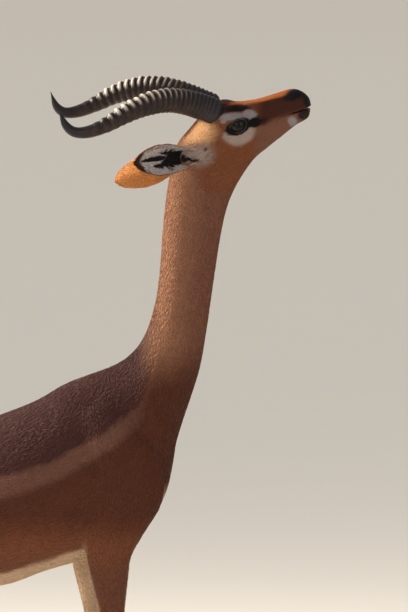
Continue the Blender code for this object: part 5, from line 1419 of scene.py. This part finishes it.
def headPaint(graph, place, body):
    # the face's markings in the head's own frame, in millimetres, alike on both sides
    c = coatColours
    hx, hy, hz = graph.headParts(place)
    side = abs(hy)
    wobble = (graph.noise(place, 60, 3) - 0.5) * 0.55
    ragged = (graph.noise(place, 70, 3) - 0.5) * 9
    colour = graph.blend((hx + ragged).smooth(-44, -10), body, c["cheek"])
    jaw = (hz + ragged * 0.6 - hx * 0.04).smooth(12, -12) * (hx + ragged).smooth(96, 136)
    colour = graph.blend(jaw, colour, c["jaw"])
    muzzle = (hx + ragged * 1.6 - hz * 0.35).smooth(100, 142) * (hz + ragged * 0.6).smooth(-3, 13)
    colour = graph.blend(muzzle, colour, c["muzzle"])
    crown = oval(hx, hz, (64, 62), (27, 15), -16, 0.35, wobble)
    crown = crown.most((hz + ragged * 0.4).smooth(60, 68) * hx.smooth(92, 76))
    colour = graph.blend(crown * hx.smooth(0, 30), colour, c["crown"])
    strip = graph.curve(hx, ((78, 60.0), (113, 51.5), (150, 46.5), (182, 45.5), (214, 45.0)))
    # the top of the muzzle: its rusty coat with a painted highlight from above
    litBridge = (hz - strip + ragged * 0.22).smooth(-2.5, 2.0) * (hx + ragged).smooth(76, 90)
    colour = graph.blend(litBridge, colour, c["litBridge"])
    ridge = (hz - strip + ragged * 0.2).smooth(2.5, 6.0) * hx.smooth(128, 106) * hx.smooth(40, 60)
    colour = graph.blend(ridge * 0.9, colour, c["crown"])
    # the pale patch behind the horns: a pale coat with painted sunlight on it
    nape = oval(hx, hz, (-2, 26), (37, 25), -10, 0.45, wobble)
    colour = graph.blend(nape * side.smooth(8, 22), colour, c["nape"])
    root = oval(hx, hz, (-6, -22), (28, 24), 0, 0.45, wobble) * side.smooth(18, 32)
    colour = graph.blend(root * 0.9, colour, c["earRoot"])
    stem = oval(hx, hz, (-30, -14), (32, 17), -16, 0.3, wobble * 0.7) * side.smooth(18, 32)
    colour = graph.blend(stem, colour, c["under"])
    slit = oval(hx, hz, (-33, -25), (23, 4.2), -24, 0.35, wobble * 0.3).most(
        oval(hx, hz, (-48, -20), (11, 9), -20, 0.3, wobble * 0.3)) * side.smooth(18, 32)
    colour = graph.blend(slit, colour, c["black"])
    brow = oval(hx, hz, (96, 49.5), (28, 6.5), -16, 0.35, wobble)
    colour = graph.blend(brow, colour, c["brow"])
    crescent = oval(hx, hz, (85, 2), (35, 28), -4, 0.20, wobble * 0.5) * (hz + hx * 0.08).smooth(19, 11)
    colour = graph.blend(crescent, colour, c["under"])
    over = oval(hx, hz, (79, 38.5), (25, 7.6), -14, 0.35, wobble)
    over = over.most(oval(hx, hz, (60, 35), (6, 6), 0, 0.5, wobble))
    over = over.most(oval(hx, hz, (116, 30.5), (15.5, 10), -10, 0.25, wobble))
    colour = graph.blend(over, colour, c["white"])
    chin = oval(hx, hz, (202, -13), (9.5, 12), 10, 0.35, wobble)
    colour = graph.blend(chin, colour, c["chin"])
    line = graph.curve(hx, ((150, -8), (163, -3), (182, 2), (200, 5), (225, 3), (262, 2)))
    lips = abs(hz - line + ragged * 0.1).smooth(3.0, 1.2) * hx.smooth(190, 214)
    # the dark front of the mouth: partly black lip skin, partly painted shade in the parted mouth
    lips = lips.most(oval(hx, hz, (230, -5), (13, 12), 10, 0.3, wobble))
    colour = graph.blend(lips * 0.95, colour, c["lips"])
    nose = (hx + ragged * 0.5 + hz * 0.12).smooth(236, 243) * (hz + ragged * 0.2).smooth(4, 10)
    nose = nose.most(oval(hx, hz, (222, 41), (25, 11), 4, 0.25, wobble))
    colour = graph.blend(nose, colour, c["nose"])
    lids = oval(hx, hz, (86, 13.8), (28.5, 16.8), 6, 0.08, wobble * 0.2)
    gland = oval(hx, hz, (123, 11), (15.5, 10.5), -6, 0.22, wobble * 0.6)
    trail = oval(hx, hz, (139, 8), (15, 8), -8, 0.6, wobble) * 0.7
    dots = oval(hx, hz, (7, -12), (3.4, 3.4), 0, 0.4).most(oval(hx, hz, (5, -27), (2.6, 2.6), 0, 0.4) * 0.5)
    dark = lids.most(gland).most(trail).most(dots * side.smooth(20, 30))
    colour = graph.blend(dark, colour, c["black"])
    # only on the head itself
    onHead = place.dot((0.0, 0.0, 1.0)).smooth(1.372, 1.388) * hx.smooth(-60, -45)
    return graph.blend(onHead, body, colour)


def coatMaterial(name, tufts):
    # the same markings on the skin and on its tufts; each tuft has its own tone, darker at its root
    roughness = 0.6 if tufts else 0.7
    graph = Graph(name, roughness, Sheen_Weight=0.03, Sheen_Roughness=0.4, Specular_IOR_Level=0.07)
    place = graph.attribute("rootPlace") if tufts else graph.objectPlace()
    colour = headPaint(graph, place, bodyPaint(graph, place))
    if tufts:
        own, along, other = graph.attribute("hair").parts()
        tone = (own * 0.26 + 0.88) * (along * 0.34 + 0.78)
    else:
        fine = graph.noise(place, 900, 2)
        tone = fine * 0.5 + 0.62
        across, along = graph.attribute("lie").parts()[:2]
        streak = graph.noise(graph.spot(across * 1400, along * 130, 0.0), 1.0, 2)
        graph.bumpy(streak * 0.7 + fine * 0.3, 0.55, 0.0012)
    graph.feed("Base Color", graph.scaled(colour, tone))
    return graph.material


def plainHair(name, root, tip, roughness):
    # long hair: one colour at the root and another at the tip, each strand with its own tone
    graph = Graph(name, roughness, Sheen_Weight=0.2, Specular_IOR_Level=0.35)
    own, along, other = graph.attribute("hair").parts()
    colour = graph.blend(along, root, tip)
    graph.feed("Base Color", graph.scaled(colour, own * 0.7 + 0.65))
    graph.feed("Roughness", own * 0.2 + (roughness - 0.1))
    return graph.material


def lidMaterial():
    graph = Graph("lid_skin", 0.4, Specular_IOR_Level=0.25)
    place = graph.objectPlace()
    fine = graph.noise(place, 700, 3)
    graph.feed("Base Color", graph.blend(fine, (0.003, 0.0025, 0.003), (0.010, 0.007, 0.006)))
    graph.feed("Roughness", fine * 0.3 + 0.22)
    graph.bumpy(fine, 0.4, 0.0006)
    return graph.material


def eyeMaterial():
    # a near-black eye: a long level pupil in a dark brown iris with fine spokes, under a clear wet coat
    graph = Graph("eye_wet", 0.10, Specular_IOR_Level=0.10, Coat_Roughness=0.02, Coat_IOR=1.3)
    graph.shader.inputs["Coat Weight"].default_value = 0.12
    gx, gy, gz = graph.attribute("gaze").parts()
    around = graph.node("ShaderNodeMath", {"operation": "ARCTAN2"}, {0: gz, 1: gx})
    spokes = graph.noise(graph.spot(around * 9.0, gy * 3.0, 0.3), 1.4, 3)
    pupil = oval(gx, gz, (0.0, 0.0), (0.50, 0.30), 0, 0.15)
    iris = oval(gx, gz, (0.0, 0.0), (0.70, 0.66), 0, 0.07)
    colour = graph.blend(spokes, (0.0035, 0.002, 0.0015), (0.010, 0.005, 0.003))
    colour = graph.blend(1 - iris, colour, (0.003, 0.0025, 0.003))
    colour = graph.blend(pupil, colour, (0.0015, 0.0015, 0.002))
    graph.feed("Base Color", colour)
    return graph.material


def hornMaterial():
    # dark keratin: near black, browner in patches, with fine lines along it; painted shade in the valleys
    # between the rings and painted highlights on the crests, on the horn's top side
    graph = Graph("horn_keratin", 0.46, Specular_IOR_Level=0.14)
    share, crest, facing = graph.attribute("hornPlace").parts()
    place = graph.objectPlace()
    hx, hy, hz = graph.headParts(place)
    fibres = graph.noise(graph.spot(hx * 0.05, hy * 0.9, hz * 0.9), 1.0, 3)
    fine = graph.noise(place, 620, 3)
    patches = graph.noise(place, 45, 3)
    colour = graph.blend(patches.smooth(0.35, 0.7), (0.010, 0.0065, 0.0065), (0.024, 0.014, 0.011))
    colour = graph.blend(share.smooth(0.20, 0.02) * 0.6, colour, (0.014, 0.015, 0.021))
    colour = graph.blend(fibres.smooth(0.45, 0.75) * 0.45, colour, (0.055, 0.040, 0.032))
    # painted shade: the valleys between the rings darker on the horn's top side
    valleyShade = crest.smooth(0.40, 0.05) * facing.smooth(0.4, 0.8) * share.smooth(0.76, 0.66)
    colour = graph.blend(valleyShade * 0.7, colour, (0.005, 0.004, 0.004))
    # painted highlight: pale tops of the ring crests on the horn's top side
    crestHighlight = crest.smooth(0.50, 0.95) * fine.smooth(0.25, 0.55) * facing.smooth(0.74, 0.97)
    colour = graph.blend(crestHighlight * (share.smooth(0.06, 0.36) * 0.78 + 0.08), colour, (0.62, 0.53, 0.43))
    colour = graph.blend(share.smooth(0.74, 0.84), colour, (0.011, 0.010, 0.012))
    graph.feed("Base Color", colour)
    graph.feed("Roughness", fine * 0.22 + 0.34 - share.smooth(0.62, 0.8) * 0.12)
    graph.bumpy(fibres * 0.6 + fine * 0.4, 0.5, 0.0009)
    return graph.material


def hoofMaterial():
    graph = Graph("hoof_keratin", 0.4, Specular_IOR_Level=0.45)
    place = graph.objectPlace()
    x, y, z = place.parts()
    rings = ((z * 2600 + graph.noise(place, 60) * 3).sine()) * 0.5 + 0.5
    fine = graph.noise(place, 500, 3)
    colour = graph.blend(fine, (0.012, 0.010, 0.009), (0.048, 0.038, 0.030))
    colour = graph.blend(rings * 0.35, colour, (0.075, 0.060, 0.048))
    colour = graph.blend(z.smooth(0.008, 0.001) * fine.smooth(0.3, 0.7) * 0.7, colour, (0.17, 0.145, 0.115))
    graph.feed("Base Color", colour)
    graph.feed("Roughness", fine * 0.3 + 0.28)
    graph.bumpy(rings * 0.5 + fine * 0.5, 0.35, 0.0006)
    return graph.material


earColours = {
    "back": (0.44, 0.175, 0.050), "rim": (0.030, 0.011, 0.007), "inside": (0.0030, 0.0025, 0.0030),
    "pale": (0.50, 0.43, 0.40), "hollow": (0.210, 0.180, 0.185), "root": (0.32, 0.245, 0.195),
}

# the black branches in the ear: centre and reach by share and lean, softness of the edge, its unevenness
# and how much of it, and strength
earDark = (
    ((0.33, 0.00), (0.185, 0.46), 0.14, "wobble", 0.6, 1.0),
    ((0.46, -0.46), (0.135, 0.23), 0.16, "teeth", 1.0, 1.0),
    ((0.47, 0.22), (0.10, 0.26), 0.16, "wobble", 1.0, 1.0),
    ((0.67, -0.09), (0.225, 0.165), 0.2, "wobble", 1.0, 1.0),
    ((0.63, -0.76), (0.15, 0.07), 0.25, "teeth", 0.8, 1.0),
    ((0.14, 0.29), (0.14, 0.075), 0.25, "even", 1.0, 1.0),
    ((0.61, 0.38), (0.085, 0.17), 0.22, "wobble", 1.0, 1.0),
    ((0.44, 0.48), (0.065, 0.30), 0.22, "wobble", 1.0, 1.0),
    ((0.85, 0.58), (0.022, 0.07), 0.35, "even", 1.0, 0.8),
    ((0.77, 0.84), (0.022, 0.06), 0.35, "even", 1.0, 0.8),
)


def earPaint(graph, place):
    # the ear's markings by share of its length, lean to either edge, and which face: black branches on white
    c = earColours
    share, lean, face = place.parts()
    spot = graph.spot(share * 12.0, lean * 3.6, face)
    wobble = (graph.noise(spot, 1.7, 3) - 0.5) * 0.5
    comb = graph.spot(share * 34.0 + lean * 9.0, lean * 4.0, 0.0)
    teeth = (graph.noise(comb, 1.0, 2) - 0.5) * 0.9
    uneven = {"wobble": wobble, "teeth": teeth, "even": 0.0}
    dark = None
    for centre, reach, soft, kind, amount, strength in earDark:
        patch = oval(share, lean, centre, reach, 0, soft, uneven[kind] * amount) * strength
        dark = dark.most(patch) if dark else patch
    streaks = graph.spot(share * 8.0, lean * 22.0, 0.0)
    inner = graph.blend(graph.noise(streaks, 1.0, 2).smooth(0.40, 0.62), c["hollow"], c["pale"])
    inner = graph.blend(share.smooth(0.22, 0.08), inner, c["root"])
    inner = graph.blend(dark, inner, c["inside"])
    edge = abs(lean).smooth(0.94, 0.985).most((share + abs(lean + 0.1) * 0.08).smooth(0.875, 0.925))
    inner = graph.blend(edge * share.smooth(0.25, 0.45), inner, c["rim"])
    outer = graph.blend(graph.noise(spot, 4.0, 3), c["back"], tuple(0.8 * part for part in c["back"]))
    outer = graph.blend(share.smooth(0.88, 1.0) * 0.4, outer, c["rim"])
    outer = graph.blend(share.smooth(0.30, 0.12), outer, c["root"])
    return graph.blend(face.smooth(0.45, 0.55), outer, inner)


def earMaterial(name, tufts):
    graph = Graph(name, 0.6, Sheen_Weight=0.03, Sheen_Roughness=0.4, Specular_IOR_Level=0.07)
    place = graph.attribute("rootPlace" if tufts else "earPlace")
    if tufts:
        share, lean, kind = place.parts()
        own, along, other = graph.attribute("hair").parts()
        colour = earPaint(graph, graph.spot(share, lean, kind.least(1.0)))
        colour = graph.blend(kind.smooth(2.4, 2.6), colour, earColours["pale"])
        rim = kind.smooth(1.4, 1.6) * kind.smooth(2.6, 2.4)
        colour = graph.blend(rim * (along * 0.5 + 0.35), colour, earColours["back"])
        tone = (own * 0.4 + 0.8) * (along * 0.35 + 0.75)
    else:
        colour = earPaint(graph, place)
        fine = graph.noise(graph.objectPlace(), 800, 2)
        tone = fine * 0.4 + 0.7
        graph.bumpy(fine, 0.5, 0.001)
    graph.feed("Base Color", graph.scaled(colour, tone))
    return graph.material


# Floor, backdrop, lights and camera.

studio = {
    "floor": (0.80, 0.76, 0.70), "wallFrom": 64.0, "wallTo": 92.0, "wallHeight": 31.0,
    "world": (1.0, 0.97, 0.93), "worldStrength": 0.72,
    "lights": (
        # name, place, target, size, watts, colour
        ("key", (-3.7, 1.5, 3.4), (0.0, 0.0, 1.2), 1.5, 880, (1.0, 0.89, 0.76)),
        ("fill", (-1.6, -5.5, 2.6), (0.0, 0.0, 1.0), 3.5, 85, (1.0, 0.97, 0.94)),
        ("front", (3.2, -2.5, 2.2), (0.1, 0.0, 1.0), 2.4, 38, (0.98, 0.98, 1.0))),
    "aim": (0.2064, 0.0, 1.13296), "elevation": 3.0, "distance": 24.0, "viewHeight": 1.3158, "sensor": 36.0,
    "clipEnd": 400, "turns": 96, "flatRings": (0.001, 2.0, 10.0, 30.0),
}


def makeStage():
    # a level floor that curves up into a round wall far behind: a profile turned about the middle
    flat = (*studio["flatRings"], studio["wallFrom"])
    bend = np.linspace(0, math.pi / 2, 16)[1:]
    span = studio["wallTo"] - studio["wallFrom"]
    radius = np.concatenate([flat, studio["wallFrom"] + span * np.sin(bend)])
    height = np.concatenate([np.zeros(len(flat)), studio["wallHeight"] * (1 - np.cos(bend))])
    turns = studio["turns"]
    turn = np.linspace(0, 2 * math.pi, turns, endpoint=False)
    rings = np.stack([radius[:, None] * np.cos(turn), radius[:, None] * np.sin(turn),
                      np.repeat(height[:, None], turns, 1)], axis=2)
    mesh = meshFrom("studio_floor", rings.reshape(-1, 3), tubeFaces(len(radius), turns), fanFaces(0, turns))
    mesh.polygons.foreach_set("use_smooth", np.ones(len(mesh.polygons), dtype=bool))
    floor = linkMesh("studio_floor", mesh)
    graph = Graph("studio_paint", 0.75)
    place = graph.node("ShaderNodeTexCoord", {}, {}, "Object")
    fine = graph.noise(place, 3.0, 2)
    tone = studio["floor"]
    graph.feed("Base Color", graph.blend(fine, tone, tuple(0.985 * part for part in tone)))
    floor.data.materials.append(graph.material)
    world = bpy.data.worlds.new("studio_light")
    world.use_nodes = True
    sky = world.node_tree.nodes["Background"]
    sky.inputs[0].default_value = (*studio["world"], 1.0)
    sky.inputs[1].default_value = studio["worldStrength"]
    bpy.context.scene.world = world
    bpy.context.scene.view_settings.view_transform = "Standard"
    for name, place, target, size, watts, colour in studio["lights"]:
        lamp = bpy.data.lights.new(name, "AREA")
        lamp.shape, lamp.size, lamp.energy, lamp.color = "DISK", size, watts, colour
        light = bpy.data.objects.new(name, lamp)
        light.location = place
        way = np.array(target) - np.array(place)
        light.rotation_mode = "QUATERNION"
        light.rotation_quaternion = Vector(way.tolist()).to_track_quat("-Z", "Y")
        bpy.context.scene.collection.objects.link(light)
    aim = np.array(studio["aim"]) + shift
    tilt = math.radians(studio["elevation"])
    camera = bpy.data.objects.new("camera", bpy.data.cameras.new("camera"))
    camera.location = aim + studio["distance"] * np.array((0.0, -math.cos(tilt), math.sin(tilt)))
    camera.rotation_euler = (math.pi / 2 - tilt, 0.0, 0.0)
    camera.data.sensor_width = studio["sensor"]
    camera.data.lens = studio["sensor"] * studio["distance"] / studio["viewHeight"]
    camera.data.clip_end = studio["clipEnd"]
    bpy.context.scene.collection.objects.link(camera)
    bpy.context.scene.camera = camera
    print("stage ready")


def main():
    makeStage()
    body = makeSkin()
    mesh = body.data
    points = meshPoints(mesh)
    part, around, along = coatLie(points, meshNormals(mesh))[1:4]
    addAttribute(mesh, "lie", np.column_stack([around, along, part]))
    tuftMaterial = coatMaterial("coat_hair", True)
    pieces = makeCoat(body, tuftMaterial)
    for piece, slotName in zip(pieces, ("coat_back", "coat_flank", "coat_flank", "coat_neck", "coat_leg")):
        settle(piece, tuftMaterial, slotName)
    flesh = ["head", "neck", "torso_front", "torso_rear"] + [
        "leg_%s_%s_%s" % (kind, side, level) for kind in ("fore", "hind") for side in ("left", "right")
        for level in ("upper", "lower")]
    finish(body, coatMaterial("coat_skin", False), "coat_neck", *flesh)
    lidSkin, wet = lidMaterial(), eyeMaterial()
    darkHair = plainHair("dark_hair", (0.02, 0.014, 0.012), (0.05, 0.035, 0.028), 0.5)
    earSkin, earHair = earMaterial("ear_skin", False), earMaterial("ear_fur", True)
    keratin = hornMaterial()
    for side in ("right", "left"):
        makeEye(side, wet)
        makeLid(side, lidSkin)
        makeLashes(side, darkHair)
        makeEar(side, earSkin)
        earTufts(side, earHair)
        makeHorn(side, keratin)
    print("head pieces done")
    makeHooves(hoofMaterial())
    makeTailTuft(plainHair("tail_hair", (0.016, 0.010, 0.008), (0.030, 0.018, 0.013), 0.5))
    makeBrushes(plainHair("knee_hair", (0.10, 0.05, 0.03), (0.05, 0.028, 0.018), 0.6))
    print("feet, tail and brushes done")


main()
